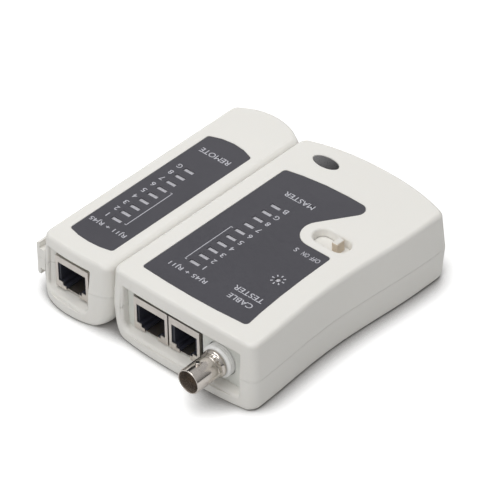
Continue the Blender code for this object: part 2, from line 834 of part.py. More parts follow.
def make_jack(jack, metal, plastic, gold):
    name, body = jack.name, jack.body
    middle = (jack.left + jack.right) / 2
    front, back = jack.front, jack.front + jack.depth
    top = jack.low + 11.0  # ceiling of the plug's window
    wide, narrow = jack.latch

    def stepped(helper, half, spare, high, near, far):
        """Cutters for the plug's width, then for the two steps of its latch."""
        steps = (
            (half, jack.low + 2.9, high, 0.0),
            (wide - spare, jack.low + 1.5, high - 1.0, 0.1),
            (narrow - spare, jack.low - 1.0, high - 2.0, 0.2),
        )
        return [
            box(
                f"{helper}_{i}", (middle - reach, near, foot),
                (middle + reach, far - short, ceiling), body=body,
            )
            for i, (reach, foot, ceiling, short) in enumerate(steps)
        ]

    can = box(
        f"{name}_shield", (jack.left, front, jack.low), (jack.right, back, jack.high), metal, body
    )
    room = box(
        f"{name}_room", (jack.left + SHEET, front + SHEET, jack.low + SHEET),
        (jack.right - SHEET, back + 1.0, jack.high - SHEET), body=body,
    )
    cut(can, room)
    cut(can, *stepped(f"{name}_window", jack.opening, 0.0, top, front - 1, front + 1))

    inset = SHEET + GAP
    block = box(
        f"{name}_housing", (jack.left + inset, front + inset, jack.low + inset),
        (jack.right - inset, back - 0.3, jack.high - inset), plastic, body,
    )
    cavity = stepped(
        f"{name}_cavity", jack.cavity, 0.35, top - 0.2, front - 1, front + PLUG_DEPTH
    )
    cut(block, *cavity)
    reach = jack.ways / 2 * CONTACT_PITCH + 0.3
    bay = box(
        f"{name}_contact_bay", (middle - reach, front + 1.6, top - 1.0),
        (middle + reach, front + PLUG_DEPTH - 0.5, top + 1.7), body=body,
    )
    cut(block, bay)
    make_contacts(f"{name}_contacts", middle, front + 2.0, top + 1.4, jack.ways, gold, body)


def make_contacts(name, middle, front, top, ways, gold, body):
    """The row of spring wires as one comb: a bar, and one bent wire below it for each way."""
    half = CONTACT_PITCH * ways / 2
    thick = CONTACT_THICK
    comb = box(
        name, (middle - half, front, top - thick), (middle + half, front + 9.0, top), gold, body
    )
    wires = []
    for i in range(ways):
        x = middle + (i - (ways - 1) / 2) * CONTACT_PITCH
        profile = [
            (front + 0.1, top - thick / 2), (front + 0.1, top - 1.5),
            (front + 9.2, top - 5.2), (front + 9.2, top - 5.6),
            (front - 0.3, top - 1.8), (front - 0.3, top - thick / 2),
        ]
        wires.append(wire_plate(f"{name}_wire_{i}", profile, x - 0.22, x + 0.22, body))
    join(comb, *wires)


def wire_plate(name, outline, low, high, body):
    """A flat outline in y and z, as thick along x as from low to high."""
    bm = bmesh.new()
    corners = [bm.verts.new((low * MM, y * MM, z * MM)) for y, z in outline]
    face = bm.faces.new(corners)
    made = bmesh.ops.extrude_face_region(bm, geom=[face])
    moved = [v for v in made["geom"] if isinstance(v, bmesh.types.BMVert)]
    bmesh.ops.translate(bm, vec=((high - low) * MM, 0, 0), verts=moved)
    return place(name, mesh_of(name, bm), body=body)


def make_bnc(white, metal, pale, gold):
    """The coaxial jack: heights in its profiles run outwards from the plane y = 0."""
    centre = (BNC_X, 0.0, BNC_Z)
    threads = []
    for i in range(4):
        foot = -3.4 + 0.9 * i
        threads += [(COLLAR_RADIUS, foot), (COLLAR_RADIUS - 0.25, foot + 0.45)]
    profile = [
        (0.0, 0.3), (COLLAR_RADIUS - 0.5, 0.3), *reversed(threads),
        (COLLAR_RADIUS, -6.95), (0.0, -6.95),
    ]
    collar = turned("bnc_collar", profile, centre, white, axis="Y", sides=30)
    join(collar, box("bnc_collar_block", (43.0, 6.8, 7.4), (57.0, 17.5, 19.9)))
    cut(collar, cylinder("bnc_collar_bore", (BNC_X, BNC_Z), 3.9, -1.0, 13.0, axis="Y", sides=26))

    barrel = [
        (BARREL_RADIUS - 0.3, BARREL_TIP), (BARREL_RADIUS, BARREL_TIP - 0.3),
        (BARREL_RADIUS, 2.8), (5.35, 2.5), (5.35, 0.6), (3.6, 0.6), (3.6, -7.0),
        (2.9, -7.0), (2.9, 4.6), (4.15, 4.6), (4.15, BARREL_TIP - 0.25), (4.4, BARREL_TIP),
    ]
    shell = turned("bnc_barrel", barrel, centre, metal, axis="Y", sides=30)
    studs = [
        cylinder(
            f"bnc_stud_{side}", (BNC_X, -9.3), 0.95, BNC_Z + low, BNC_Z + high, sides=12
        )
        for side, low, high in (("upper", 4.5, 5.85), ("lower", -5.85, -4.5))
    ]
    join(shell, *studs)
    sleeve = [(2.6, 7.4), (2.6, -6.8), (1.0, -6.8), (1.0, 7.4)]
    turned("bnc_insulator", sleeve, centre, pale, axis="Y", sides=20)
    pin = [(0.0, 7.0), (0.7, 6.8), (0.7, -12.0), (0.0, -12.0)]
    turned("bnc_centre_contact", pin, centre, gold, axis="Y", sides=12)


# Battery, switch and screws --------------------------------------------------------------


def make_battery(steel, vinyl, red, black):
    battery = box("battery_9v", (11.7, 67.5, 2.6), (58.1, 94.0, 20.0), steel)
    bevel(battery, 2.0, segments=3)
    caps = []
    for i, y in enumerate((74.4, 87.1)):
        bm = bmesh.new()
        bmesh.ops.create_cone(
            bm, cap_ends=True, segments=16, depth=4.0 * MM, radius1=2.9 * MM, radius2=2.9 * MM
        )
        caps.append(
            place(f"battery_cap_{i}", mesh_of("cap", bm), at=(11.5, y, 11.3), turn=(0, math.pi / 2, 0))
        )
    join(battery, *caps)
    snap = box("battery_snap", (6.4, 68.2, 5.2), (9.1, 93.3, 17.4), vinyl)
    bevel(snap, 0.8, segments=2)
    top = MAIN_BOARD[4] + BOARD_THICK + 0.85
    red_path = ((7.7, 76.0, 18.3), (7.7, 76.0, 20.5), (9.5, 71.0, 23.4), (12.6, 60.0, top))
    black_path = ((7.7, 84.0, 18.3), (7.7, 83.0, 21.5), (11.6, 74.0, 24.6), (14.8, 61.5, top))
    make_lead("battery_lead_red", red_path, red)
    make_lead("battery_lead_black", black_path, black)


def make_lead(name, points, colour):
    curve = bpy.data.curves.new(name, "CURVE")
    curve.dimensions = "3D"
    curve.bevel_depth = 0.65 * MM
    curve.bevel_resolution = 1
    curve.use_fill_caps = True
    spline = curve.splines.new("POLY")
    spline.points.add(len(points) - 1)
    for point, co in zip(spline.points, points):
        point.co = (*(Vector(co) * MM), 1.0)
    place(name, mesh_from_curve(name, curve), colour)


def make_switch(steel, black, beige):
    """The switch on the board, its slider, and the capped plate that the thumb moves."""
    off, top = SWITCH_OFF, 24.7
    low = MAIN_BOARD[4] + BOARD_THICK + 0.2
    can = box("power_switch_can", (37.8, 59.3, low), (54.8, 65.9, top), steel)
    bevel(can, 0.4, segments=2)
    slot = box(
        "power_switch_slot",
        (off - 0.7 - SWITCH_TRAVEL - GAP, SWITCH_Y - 0.8 - GAP, low + 1.0),
        (off + 0.7 + GAP, SWITCH_Y + 0.8 + GAP, top + 1.0),
    )
    cut(can, slot)
    slider_low, slider_high = (off - 0.7, SWITCH_Y - 0.8), (off + 0.7, SWITCH_Y + 0.8)
    box("power_switch_slider", (*slider_low, low + 1.3), (*slider_high, 28.0), black, "switch")

    cover = box("power_switch_knob", (39.6, 59.0, 25.2), (63.2, 66.2, 26.1), beige, "switch")
    grip = box("power_switch_grip", (off - 1.4, 60.4, 25.6), (off + 1.4, 64.6, 30.6), body="switch")
    bevel(grip, 0.5, segments=2)
    join(cover, grip)
    socket = box(
        "power_switch_socket", (off - 0.7 - 0.2, SWITCH_Y - 0.8 - GAP, 24.0),
        (off + 0.7 + 0.2, SWITCH_Y + 0.8 + GAP, 28.0 + GAP), body="switch",
    )
    cut(cover, socket)


def make_screws(steel):
    for prefix, places, body in (
        ("main_screw", MAIN_SCREWS, "main"),
        ("remote_screw", REMOTE_SCREWS, "remote"),
    ):
        for i, (x, y) in enumerate(places, start=1):
            name = f"{prefix}_{i}"
            screw = cylinder(name, (x, y), HEAD_RADIUS, 2.9, HEAD_SEAT - GAP, steel, body)
            shank = cylinder(f"{name}_shank", (x, y), SCREW_CORE, 4.0, 19.8, body=body, sides=14)
            join(screw, shank)
            cut(
                screw,
                box(f"{name}_cross_x", (x - 1.5, y - 0.3, 0), (x + 1.5, y + 0.3, 3.9), body=body),
                box(f"{name}_cross_y", (x - 0.3, y - 1.5, 0), (x + 0.3, y + 1.5, 3.8), body=body),
            )


def make_port_panel(plastic):
    left, right, low, high = MAIN_RECESS
    outline = rectangle(left + GAP, right - GAP, low + GAP, high - GAP, 1.6)
    hole = ellipse((BNC_X, BNC_Z), 2 * (COLLAR_RADIUS + GAP), 2 * (COLLAR_RADIUS + GAP))
    panel = plate("main_port_panel", [outline, hole], PANEL_Y, PANEL_Y + 1.6, plastic, axis="Y")
    # The window for both jacks is open at its foot
    cut(panel, box(
        "main_port_panel_window",
        (RJ45.left - GAP, 0.0, 0.0), (RJ11.right + 1.2, 9.0, high - 3 * GAP),
    ))


def build():
    shell_white = new_material("case_abs", (0.80, 0.79, 0.76), 0.42)
    panel_grey = new_material("panel_abs", (0.62, 0.63, 0.59), 0.5)
    ink = new_material("label_film", (0.09, 0.09, 0.10), 0.38)
    lens = new_material("lamp_epoxy", (0.62, 0.62, 0.64), 0.25)
    laminate = new_material("board_laminate", (0.05, 0.22, 0.11), 0.4)
    resin = new_material("chip_resin", (0.03, 0.03, 0.035), 0.5)
    tin = new_material("jack_tin", (0.66, 0.62, 0.60), 0.3, 1.0)
    nylon = new_material("jack_nylon", (0.02, 0.02, 0.03), 0.45)
    gold = new_material("contact_gold", (0.83, 0.62, 0.28), 0.25, 1.0)
    white = new_material("collar_white", (0.86, 0.86, 0.85), 0.4)
    nickel = new_material("barrel_nickel", (0.72, 0.68, 0.65), 0.15, 1.0)
    pale = new_material("insulator_ptfe", (0.82, 0.80, 0.75), 0.5)
    steel = new_material("screw_steel", (0.55, 0.55, 0.56), 0.3, 1.0)
    cell = new_material("battery_jacket", (0.10, 0.12, 0.20), 0.35)
    vinyl = new_material("snap_vinyl", (0.03, 0.03, 0.03), 0.6)
    red = new_material("lead_red", (0.60, 0.04, 0.03), 0.45)
    beige = new_material("knob_beige", (0.74, 0.68, 0.60), 0.45)

    make_main_top(shell_white)
    make_main_bottom(shell_white)
    make_battery_door(shell_white)
    make_port_panel(panel_grey)
    make_remote_top(shell_white)
    make_remote_bottom(shell_white)
    make_labels(ink)
    make_lamps(lens)
    make_boards(laminate)
    make_chip("sequencer_chip", (36.5, 46.0), (10.3, 4.0, 1.9), 16, resin)
    make_chip("timer_chip", (36.5, 30.0), (5.0, 4.0, 1.9), 8, resin)
    for jack in (RJ45, RJ11, REMOTE_RJ45):
        make_jack(jack, tin, nylon, gold)
    make_bnc(white, nickel, pale, gold)
    make_battery(cell, vinyl, red, vinyl)
    make_switch(steel, vinyl, beige)
    make_screws(steel)


clear_scene()
PARTS = new_collection("network_cable_tester")
HELPERS = new_collection("helpers")
FRAME = new_empty("tester_frame", (-ORIGIN_X, -ORIGIN_Y, 0.0))
BODIES = {
    "main": FRAME,
    "remote": new_empty("remote_unit", parent=FRAME),
    "door": new_empty("battery_door_slide", parent=FRAME),
    "switch": new_empty("power_switch_slide", parent=FRAME),
}
build()
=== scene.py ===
"""Looks of the network cable tester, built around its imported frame.

Lengths in this file are millimetres in the tester's design frame: x = 0 is the seam between
the two units, y = 0 is the plane of the port ends, z = 0 is the table. spot() turns such a
point into metres of the row frame.
"""

import math
from dataclasses import dataclass

import bmesh
import bpy
from mathutils import Matrix, Vector


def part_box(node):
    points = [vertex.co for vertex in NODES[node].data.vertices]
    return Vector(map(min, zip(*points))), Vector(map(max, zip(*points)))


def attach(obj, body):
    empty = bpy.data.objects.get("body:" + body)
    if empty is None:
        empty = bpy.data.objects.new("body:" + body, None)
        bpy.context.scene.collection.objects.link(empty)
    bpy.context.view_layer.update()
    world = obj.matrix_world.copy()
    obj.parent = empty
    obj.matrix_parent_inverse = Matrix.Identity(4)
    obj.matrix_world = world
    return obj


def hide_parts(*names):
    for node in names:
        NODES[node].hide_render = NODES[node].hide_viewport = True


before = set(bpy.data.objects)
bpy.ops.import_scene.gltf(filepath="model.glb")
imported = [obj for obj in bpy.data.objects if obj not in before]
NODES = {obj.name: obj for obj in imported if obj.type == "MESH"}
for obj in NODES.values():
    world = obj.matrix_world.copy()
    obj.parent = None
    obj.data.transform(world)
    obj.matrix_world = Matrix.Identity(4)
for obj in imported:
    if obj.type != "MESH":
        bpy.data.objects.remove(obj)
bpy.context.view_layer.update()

MM = 0.001
JOIN, CUT = "UNION", "DIFFERENCE"
SHARP_ANGLE = 32
ORIGIN = Vector((33.5, 52.0, 0.0))

# Case form, as in the frame
WALL = 2.0
GAP = 0.3
SEAM_GAP = 0.05
LIP, LIP_HEIGHT, LIP_SPARE = 1.0, 0.9, 0.12
DRAFT = 1.0
TOP_ROUND = 1.6
CORNER_RADIUS, ROOM_RADIUS = 3.2, 1.2
WAIST_Y, WAIST_SPAN = 44.0, 48.0
PORT_END_ROUND = (1.2, 1.5)
BACK_END_ROUND = (2.0, 3.0)
PORT_LEAN = 0.6  # share of the side's inset that the port end leans back by
BOW_FULL_Z, BOW_FADE = 3.0, 4.0  # the port end bulges fully at this height, and fades behind
END_MARGIN = 2.5  # straight stretch that corners keep beyond their rounding
RECESS_DEPTH, RECESS_START = 4.7, -12.0
LABEL_POCKET = 0.45
LED_BAY, LED_WINDOW = (2.7, 1.2), (2.25, 0.85)  # half sizes in the case and in the film
RAIL_NECK, RAIL_FLANGE = (9.0, 18.0), (6.4, 20.6)
NECK_REACH, RAIL_REACH, RAIL_END = 2.6, 4.4, 97.5
FREE_NECK_REACH, FREE_RAIL_REACH = 1.5, 2.9  # for the free rail on the remote's left
DOOR_X, DOOR_FRONT = (9.3, 59.1), 66.3
DOOR_WALL_X, DOOR_WALL_Y, DOOR_WALL_TOP = (7.3, 61.1), 98.3, 5.7
DOOR_RAIL_Y, DOOR_RAIL_TOP = (70.0, 97.0), 3.6
GRIP_X, GRIP_Y, GRIP_PITCH, GRIP_COUNT = (27.0, 40.0), 71.0, 1.9, 5
BOSS_RADIUS, SCREW_HEAD_RADIUS, SHANK_RADIUS, PILOT_RADIUS = 4.2, 2.9, 1.7, 1.55
BAY_FRONT = ((10.0, 64.4, 1.5), (61.0, 65.8, 12.9))
BAY_SIDE = ((61.7, 72.0, 1.5), (62.9, 94.0, 12.7))
BEYOND = 130.0  # past the far end
SWITCH_PLACE = (47.8, 62.6)
BNC_X, BNC_Z = 50.0, 14.0
BARREL_RADIUS, BARREL_TIP, BARREL_BORE = 4.85, 14.4, 4.3
THREAD_CREST, THREAD_ROOT, THREAD_PITCH, THREAD_END = 6.4, 5.95, 0.85, -6.0
KNURLS, KNURL_RADIUS, KNURL_REACH = 22, 0.36, 5.12
LED_PITCH = 4.68


@dataclass(frozen=True)
class Case:
    left: float
    right: float
    back: float
    height: float
    parting: float
    back_bow: float
    back_power: float
    waist: float
    port_bow: tuple
    port_power: float
    foot: tuple
    crown: tuple  # (width, height) of the rounding at the top: left, right
    side_wall: float
    port_wall: float

    @property
    def middle(self):
        return (self.left + self.right) / 2

    @property
    def half(self):
        return (self.right - self.left) / 2


MAIN = Case(
    left=-0.9, right=68.0, back=107.3, height=29.2, parting=13.5, back_bow=5.6,
    back_power=2.3, waist=2.45, port_bow=(0.4, 2.8), port_power=3.0,
    foot=((4.0, 6.0), (1.6, 2.2)), crown=((1.6, 1.6), (1.8, 1.8)),
    side_wall=5.9, port_wall=4.7,
)
REMOTE = Case(
    left=-35.1, right=-1.2, back=107.2, height=27.0, parting=14.0, back_bow=5.5,
    back_power=2.1, waist=0.0, port_bow=(1.0, 5.0), port_power=2.2,
    foot=((4.0, 5.5), (4.5, 7.0)), crown=((1.6, 1.6), (3.0, 2.6)),
    side_wall=2.0, port_wall=2.4,
)

MAIN_LEDS = (20.0, 21.55, "12345678GB")
REMOTE_LEDS = (-19.4, 23.0, "12345678G")
POWER_LED = (48.3, 33.75)
MAIN_SCREWS = ((8.6, 31.0), (59.6, 29.0), (8.6, 52.0), (59.6, 52.0))
REMOTE_SCREWS = ((-12.4, 31.0), (-17.15, 88.0))
MAIN_LABEL = (
    (7.7, 7.9, 1.2), (20.0, 7.3, 0), (32.0, 7.1, 0), (44.0, 7.4, 0), (56.9, 8.3, 1.5),
    (55.9, 16.0, 0), (55.0, 27.0, 0), (54.4, 40.0, 0), (54.2, 54.8, 1.3),
    (28.6, 54.8, 7.5), (48.8, 84.9, 3.6), (35.0, 85.2, 0), (25.0, 84.8, 0),
    (15.0, 83.5, 0), (7.9, 81.9, 1.5),
)
REMOTE_LABEL = (
    (-28.6, 8.9, 1.2), (-23.5, 7.7, 0), (-18.3, 7.3, 0), (-13.0, 7.7, 0), (-8.0, 8.9, 1.2),
    (-7.8, 80.9, 1.2), (-13.0, 82.7, 0), (-18.3, 83.2, 0), (-23.5, 82.5, 0),
    (-28.5, 80.6, 1.2),
)
BADGE_CENTRE, BADGE_SIZE, BADGE_TOP = (16.1, 94.9), (11.4, 5.7), 28.98
FILM_GAP, FILM_THICKNESS = 0.06, 0.3
PRINT_FOOT, PRINT_HEIGHT, LINE_WIDTH, FONT_WEIGHT = 0.03, 0.012, 0.3, 0.004
# Words and the bounds they fill: left, right, near, far
MAIN_WORDS = (
    ("RJ45 + RJ11", (13.2, 30.6, 15.0, 17.6)),
    ("CABLE", (40.7, 51.7, 15.3, 17.8)),
    ("TESTER", (39.3, 52.7, 19.9, 22.4)),
    ("MASTER", (17.0, 30.7, 70.7, 73.2)),
    ("OFF", (48.6, 52.6, 49.4, 51.6)),
    ("ON", (44.6, 47.5, 49.4, 51.6)),
    ("S", (41.0, 42.4, 49.4, 51.6)),
)
REMOTE_WORDS = (
    ("RJ11 + RJ45", (-27.5, -10.2, 16.8, 19.4)),
    ("REMOTE", (-25.3, -11.3, 71.8, 74.4)),
)
DIGIT_WIDTHS, DIGIT_WIDTH = {"1": 0.42, "G": 2.0, "B": 1.8}, 1.6

# Solids: pairs of corners and faces, in millimetres


def spot(point):
    return (Vector(point) - ORIGIN) * MM


def lofted(rings):
    """A solid through rings of equally many points, with flat caps."""
    count = len(rings[0])
    corners = [point for ring in rings for point in ring]
    faces = []
    for row in range(len(rings) - 1):
        for i in range(count):
            j = (i + 1) % count
            a, b = row * count + i, row * count + j
            c, d = b + count, a + count
            faces += [(a, b, c), (a, c, d)]
    faces.append(tuple(range(count)))
    faces.append(tuple(range(len(corners) - count, len(corners))))
    return corners, faces


def prism(outline, low, high, axis="Z"):
    """An outline made solid along an axis. Along Y it is (x, z), along X it is (y, z)."""
    order = {"X": (2, 0, 1), "Y": (0, 2, 1), "Z": (0, 1, 2)}[axis]
    return lofted([
        [tuple((u, v, w)[i] for i in order) for u, v in outline] for w in (low, high)
    ])


def block(low, high):
    outline = [(low[0], low[1]), (high[0], low[1]), (high[0], high[1]), (low[0], high[1])]
    return prism(outline, low[2], high[2])


def disc(centre, radius, low, high, axis="Z", sides=48):
    return prism(ellipse(centre, 2 * radius, 2 * radius, sides), low, high, axis)


def turned(profile, centre, axis="Y", sides=96):
    """A closed (radius, height) profile turned about its axis.

    Height runs towards the plug side, -Y, for axis Y, and up for axis Z.
    """
    corners, faces, rows = [], [], []
    for radius, height in profile:
        row = []
        for k in range(sides if radius > 0 else 1):
            angle = 2 * math.pi * k / sides
            u, v = radius * math.cos(angle), radius * math.sin(angle)
            if axis == "Y":
                point = (centre[0] + u, centre[1] - height, centre[2] + v)
            else:
                point = (centre[0] + u, centre[1] + v, centre[2] + height)
            row.append(len(corners))
            corners.append(point)
        rows.append(row)
    pairs = list(zip(rows, rows[1:]))
    if profile[0][0] > 0:
        pairs.append((rows[-1], rows[0]))
    for lower, upper in pairs:
        for k in range(sides):
            n = (k + 1) % sides
            quad = [lower[k % len(lower)], lower[n % len(lower)]]
            quad += [upper[n % len(upper)], upper[k % len(upper)]]
            quad = list(dict.fromkeys(quad))
            if len(quad) == 4:
                faces += [(quad[0], quad[1], quad[2]), (quad[0], quad[2], quad[3])]
            elif len(quad) == 3:
                faces.append(tuple(quad))
    return corners, faces


def mesh_from(name, solids):
    bm = bmesh.new()
    for corners, faces in solids:
        points = [bm.verts.new(spot(corner)) for corner in corners]
        for face in faces:
            bm.faces.new([points[i] for i in face])
    bmesh.ops.recalc_face_normals(bm, faces=bm.faces)
    mesh = bpy.data.meshes.new(name)
    bm.to_mesh(mesh)
    bm.free()
    return mesh


def linked(name, data):
    obj = bpy.data.objects.new(name, data)
    bpy.context.scene.collection.objects.link(obj)
    return obj


def new_object(name, solids):
    return linked(name, mesh_from(name, solids))


def applied(obj):
    """The object's mesh with its modifiers in it."""
    bpy.context.view_layer.update()
    drawn = obj.evaluated_get(bpy.context.evaluated_depsgraph_get())
    mesh = bpy.data.meshes.new_from_object(drawn)
    old = obj.data
    obj.modifiers.clear()
    obj.data = mesh
    bpy.data.meshes.remove(old)
    mesh.name = obj.name
    return obj


def carved(obj, steps):
    """The object after a row of exact Booleans: (operation, [solids]) pairs."""
    helpers = []
    for i, (operation, solids) in enumerate(steps):
        helper = new_object(f"{obj.name}_helper_{i}", solids)
        helper.hide_render = True
        helpers.append(helper)
        modifier = obj.modifiers.new(f"step_{i}", "BOOLEAN")
        modifier.operation = operation
        modifier.solver = "EXACT"
        modifier.object = helper
    applied(obj)
    for helper in helpers:
        mesh = helper.data
        bpy.data.objects.remove(helper, do_unlink=True)
        bpy.data.meshes.remove(mesh)
    return obj


def softened(obj, width, segments=3, angle=35):
    modifier = obj.modifiers.new("Bevel", "BEVEL")
    modifier.width = width * MM
    modifier.segments = segments
    modifier.limit_method = "ANGLE"
    modifier.angle_limit = math.radians(angle)
    return obj


def dressed(obj, material, body=None, nodes=(), weighted=True):
    """Shading, material and body of one piece, and the frame's nodes it stands for."""
    mesh = obj.data
    mesh.materials.clear()
    mesh.materials.append(material)
    if body:
        mesh.shade_smooth()
        mesh.set_sharp_from_angle(angle=math.radians(SHARP_ANGLE))
        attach(obj, body)
        if nodes:
            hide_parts(*nodes)
    if weighted:
        modifier = obj.modifiers.new("Weighted", "WEIGHTED_NORMAL")
        modifier.keep_sharp = True
    return obj


# Outlines


def rounded(corners, steps=10):
    outline = []
    for i, (x, y, radius) in enumerate(corners):
        corner = Vector((x, y))
        if not radius:
            outline.append((x, y))
            continue
        before = (Vector(corners[i - 1][:2]) - corner).normalized()
        after = (Vector(corners[(i + 1) % len(corners)][:2]) - corner).normalized()
        half = before.angle(after) / 2
        centre = corner + (before + after).normalized() * radius / math.sin(half)
        start = corner + before * radius / math.tan(half) - centre
        end = corner + after * radius / math.tan(half) - centre
        for k in range(steps + 1):
            spoke = start.normalized().slerp(end.normalized(), k / steps)
            outline.append(tuple(centre + spoke * radius))
    return outline


def rectangle(left, right, low, high, radius=0.0, steps=6):
    corners = ((left, low), (right, low), (right, high), (left, high))
    return rounded([(x, y, radius) for x, y in corners], steps)


def stadium(centre, length, width, steps=24):
    x, y = centre
    radius, reach = width / 2, (length - width) / 2
    outline = []
    for side, start in ((1, -math.pi / 2), (-1, math.pi / 2)):
        for k in range(steps + 1):
            angle = start + math.pi * k / steps
            middle = x + side * reach
            outline.append((middle + radius * math.cos(angle), y + radius * math.sin(angle)))
    return outline


def ellipse(centre, length, width, steps=72):
    turns = [2 * math.pi * k / steps for k in range(steps)]
    return [
        (centre[0] + length / 2 * math.cos(a), centre[1] + width / 2 * math.sin(a))
        for a in turns
    ]


def grown(outline, by):
    points = [Vector(p) for p in outline]
    moved = []
    for i, point in enumerate(points):
        along = (points[(i + 1) % len(points)] - points[i - 1]).normalized()
        moved.append(tuple(point + Vector((along.y, -along.x)) * by))
    return moved


# Case halves


def waist_at(case, y):
    reach = min(1.0, abs(y - WAIST_Y) / WAIST_SPAN)
    return case.waist * math.cos(math.pi / 2 * reach) ** 2


def back_at(case, x):
    share = min(1.0, abs(x - case.middle) / case.half)
    return case.back - case.back_bow * share**case.back_power


def plan(case, radius=CORNER_RADIUS, side_points=30, end_points=30):
    margin = CORNER_RADIUS + END_MARGIN

    def spread(start, end, count):
        return [start + (end - start) * (k + 0.5) / count for k in range(count)]

    corners = [(case.left, 0.0, radius)]
    for x in spread(case.left + margin, case.right - margin, end_points):
        corners.append((x, 0.0, 0))
    corners.append((case.right, 0.0, radius))
    last = back_at(case, case.right)
    if case.waist:
        for y in spread(margin, last - margin, side_points):
            corners.append((case.right - waist_at(case, y), y, 0))
    corners.append((case.right, last, radius))
    for x in spread(case.right - margin, case.left + margin, end_points):
        corners.append((x, back_at(case, x), 0))
    corners.append((case.left, back_at(case, case.left), radius))
    return rounded(corners)


def quarter_round(width, height, rise):
    if rise >= height:
        return 0.0
    share = 1.0 - rise / height
    return width * (1.0 - math.sqrt(max(0.0, 1.0 - share * share)))


def side_inset(case, z, foot, crown=(TOP_ROUND, TOP_ROUND)):
    if z > case.parting:
        lean = DRAFT * (z - case.parting) / (case.height - case.parting)
    else:
        lean = DRAFT * (case.parting - z) / case.parting
    return lean + quarter_round(*crown, case.height - z) + quarter_round(*foot, z)


def port_bow_at(case, x, z):
    top, foot = case.port_bow
    drop = min(1.0, max(0.0, (case.height - z) / (case.height - BOW_FULL_Z)))
    share = min(1.0, abs(x - case.middle) / case.half)
    return (top + (foot - top) * drop) * (1.0 - share**case.port_power)


def face_at(case, x, z):
    """y of the port end's face."""
    return side_inset(case, z, PORT_END_ROUND) * PORT_LEAN - port_bow_at(case, x, z)


def fitted(case, outline, z, left, right, front, back):
    return [
        (
            left + (x - case.left) / (case.right - case.left) * (right - left),
            front + y / case.back * (back - front),
            z,
        )
        for x, y in outline
    ]


def ring(case, z, inset=0.0, outline=None):
    """The case's outline at height z, or one drawn in by a constant inset."""
    left = case.left + side_inset(case, z, case.foot[0], case.crown[0]) + inset
    right = case.right - side_inset(case, z, case.foot[1], case.crown[1]) - inset
    front = side_inset(case, z, PORT_END_ROUND) * PORT_LEAN + inset
    back = case.back - side_inset(case, z, BACK_END_ROUND) - inset
    outline = outline or plan(case)
    return [
        (x, y - port_bow_at(case, x, z) * max(0.0, 1.0 - (y - front) / BOW_FADE), z)
        for x, y, z in fitted(case, outline, z, left, right, front, back)
    ]


def cavity_ring(case, z):
    left = case.left + max(case.side_wall, side_inset(case, z, case.foot[0]) + WALL)
    right = case.right - side_inset(case, z, case.foot[1]) - WALL
    back = case.back - side_inset(case, z, BACK_END_ROUND) - WALL
    outline = plan(case, ROOM_RADIUS)
    return fitted(case, outline, z, left, right, case.port_wall, back)


def heights(case, low, high):
    """Heights of the rings, close together where the profile is round."""
    marks = [0.0, case.parting, case.height]
    for _, rise in (case.foot[0], case.foot[1], BACK_END_ROUND, PORT_END_ROUND):
        marks += [rise * (1 - math.cos(math.radians(a))) for a in range(0, 91, 15)]
    for _, drop in case.crown:
        marks += [case.height - drop * (1 - math.cos(math.radians(a))) for a in range(0, 91, 10)]
    kept = [low]
    for z in sorted(marks):
        if kept[-1] + 0.04 < z < high - 0.04:
            kept.append(z)
    return kept + [high]


def lip_solid(case, low, high, inset):
    """The solid inside the seam's lap joint."""
    outline = ring(case, case.parting, inset)
    return lofted([[(x, y, z) for x, y, _ in outline] for z in (low, high)])


def case_half(name, case, upper):
    """One half of the case with its cavity and its half of the seam's lap joint."""
    outline = plan(case)
    if upper:
        seam = case.parting + SEAM_GAP / 2
        rings = [ring(case, z, 0.0, outline) for z in heights(case, seam, case.height)]
        marks = (seam - 1.0, case.height - WALL - 2.0, case.height - WALL - 0.2)
        rabbet = lip_solid(case, seam - 0.5, seam + LIP_HEIGHT + LIP_SPARE, LIP - LIP_SPARE)
        steps = [
            (CUT, [lofted([cavity_ring(case, z) for z in marks])]),
            (CUT, [rabbet]),
        ]
    else:
        seam = case.parting - SEAM_GAP / 2
        rings = [ring(case, z, 0.0, outline) for z in heights(case, 0.0, seam)]
        marks = (WALL, 4.0, 7.0, seam + 2.5)
        steps = [
            (JOIN, [lip_solid(case, seam - 1.5, seam + SEAM_GAP + LIP_HEIGHT, LIP)]),
            (CUT, [lofted([cavity_ring(case, z) for z in marks])]),
        ]
    return new_object(name, [lofted(rings)]), steps


# Port recesses: their sides at the panel, how far each side splays out to the face, and the
# radius of its lip, all as left, right, low, high
MAIN_RECESS = ((5.3, 61.0, 5.4, 23.2), (0.0, 0.1, 0.5, 0.3), (1.3, 0.4, 1.2, 0.3))
REMOTE_RECESS = ((-28.9, -10.9, 5.7, 21.8), (2.2, 0.9, 0.6, 0.7), (1.4, 0.5, 1.3, 0.3))
MAIN_CORNERS = ((1.6, 0.8, 0.4), (3.4, 1.6, 0.5))
REMOTE_CORNERS = ((1.0, 0.6, 0.3), (2.6, 2.0, 0.6))
PANEL_Y, REMOTE_PANEL_Y = 2.6, 1.6


def between(start, end, share):
    return [a + (b - a) * share for a, b in zip(start, end)]


def recess_section(sides, splay, lips, radius, grow, lip):
    left, right, low, high = (
        side + sign * (splay[i] * grow + lips[i] * lip)
        for i, (side, sign) in enumerate(zip(sides, (-1, 1, -1, 1)))
    )
    corners = (
        (left, low, radius[0]), (right, low, radius[1]),
        (right, high, radius[2]), (left, high, radius[2]),
    )
    return rounded(corners, 12)


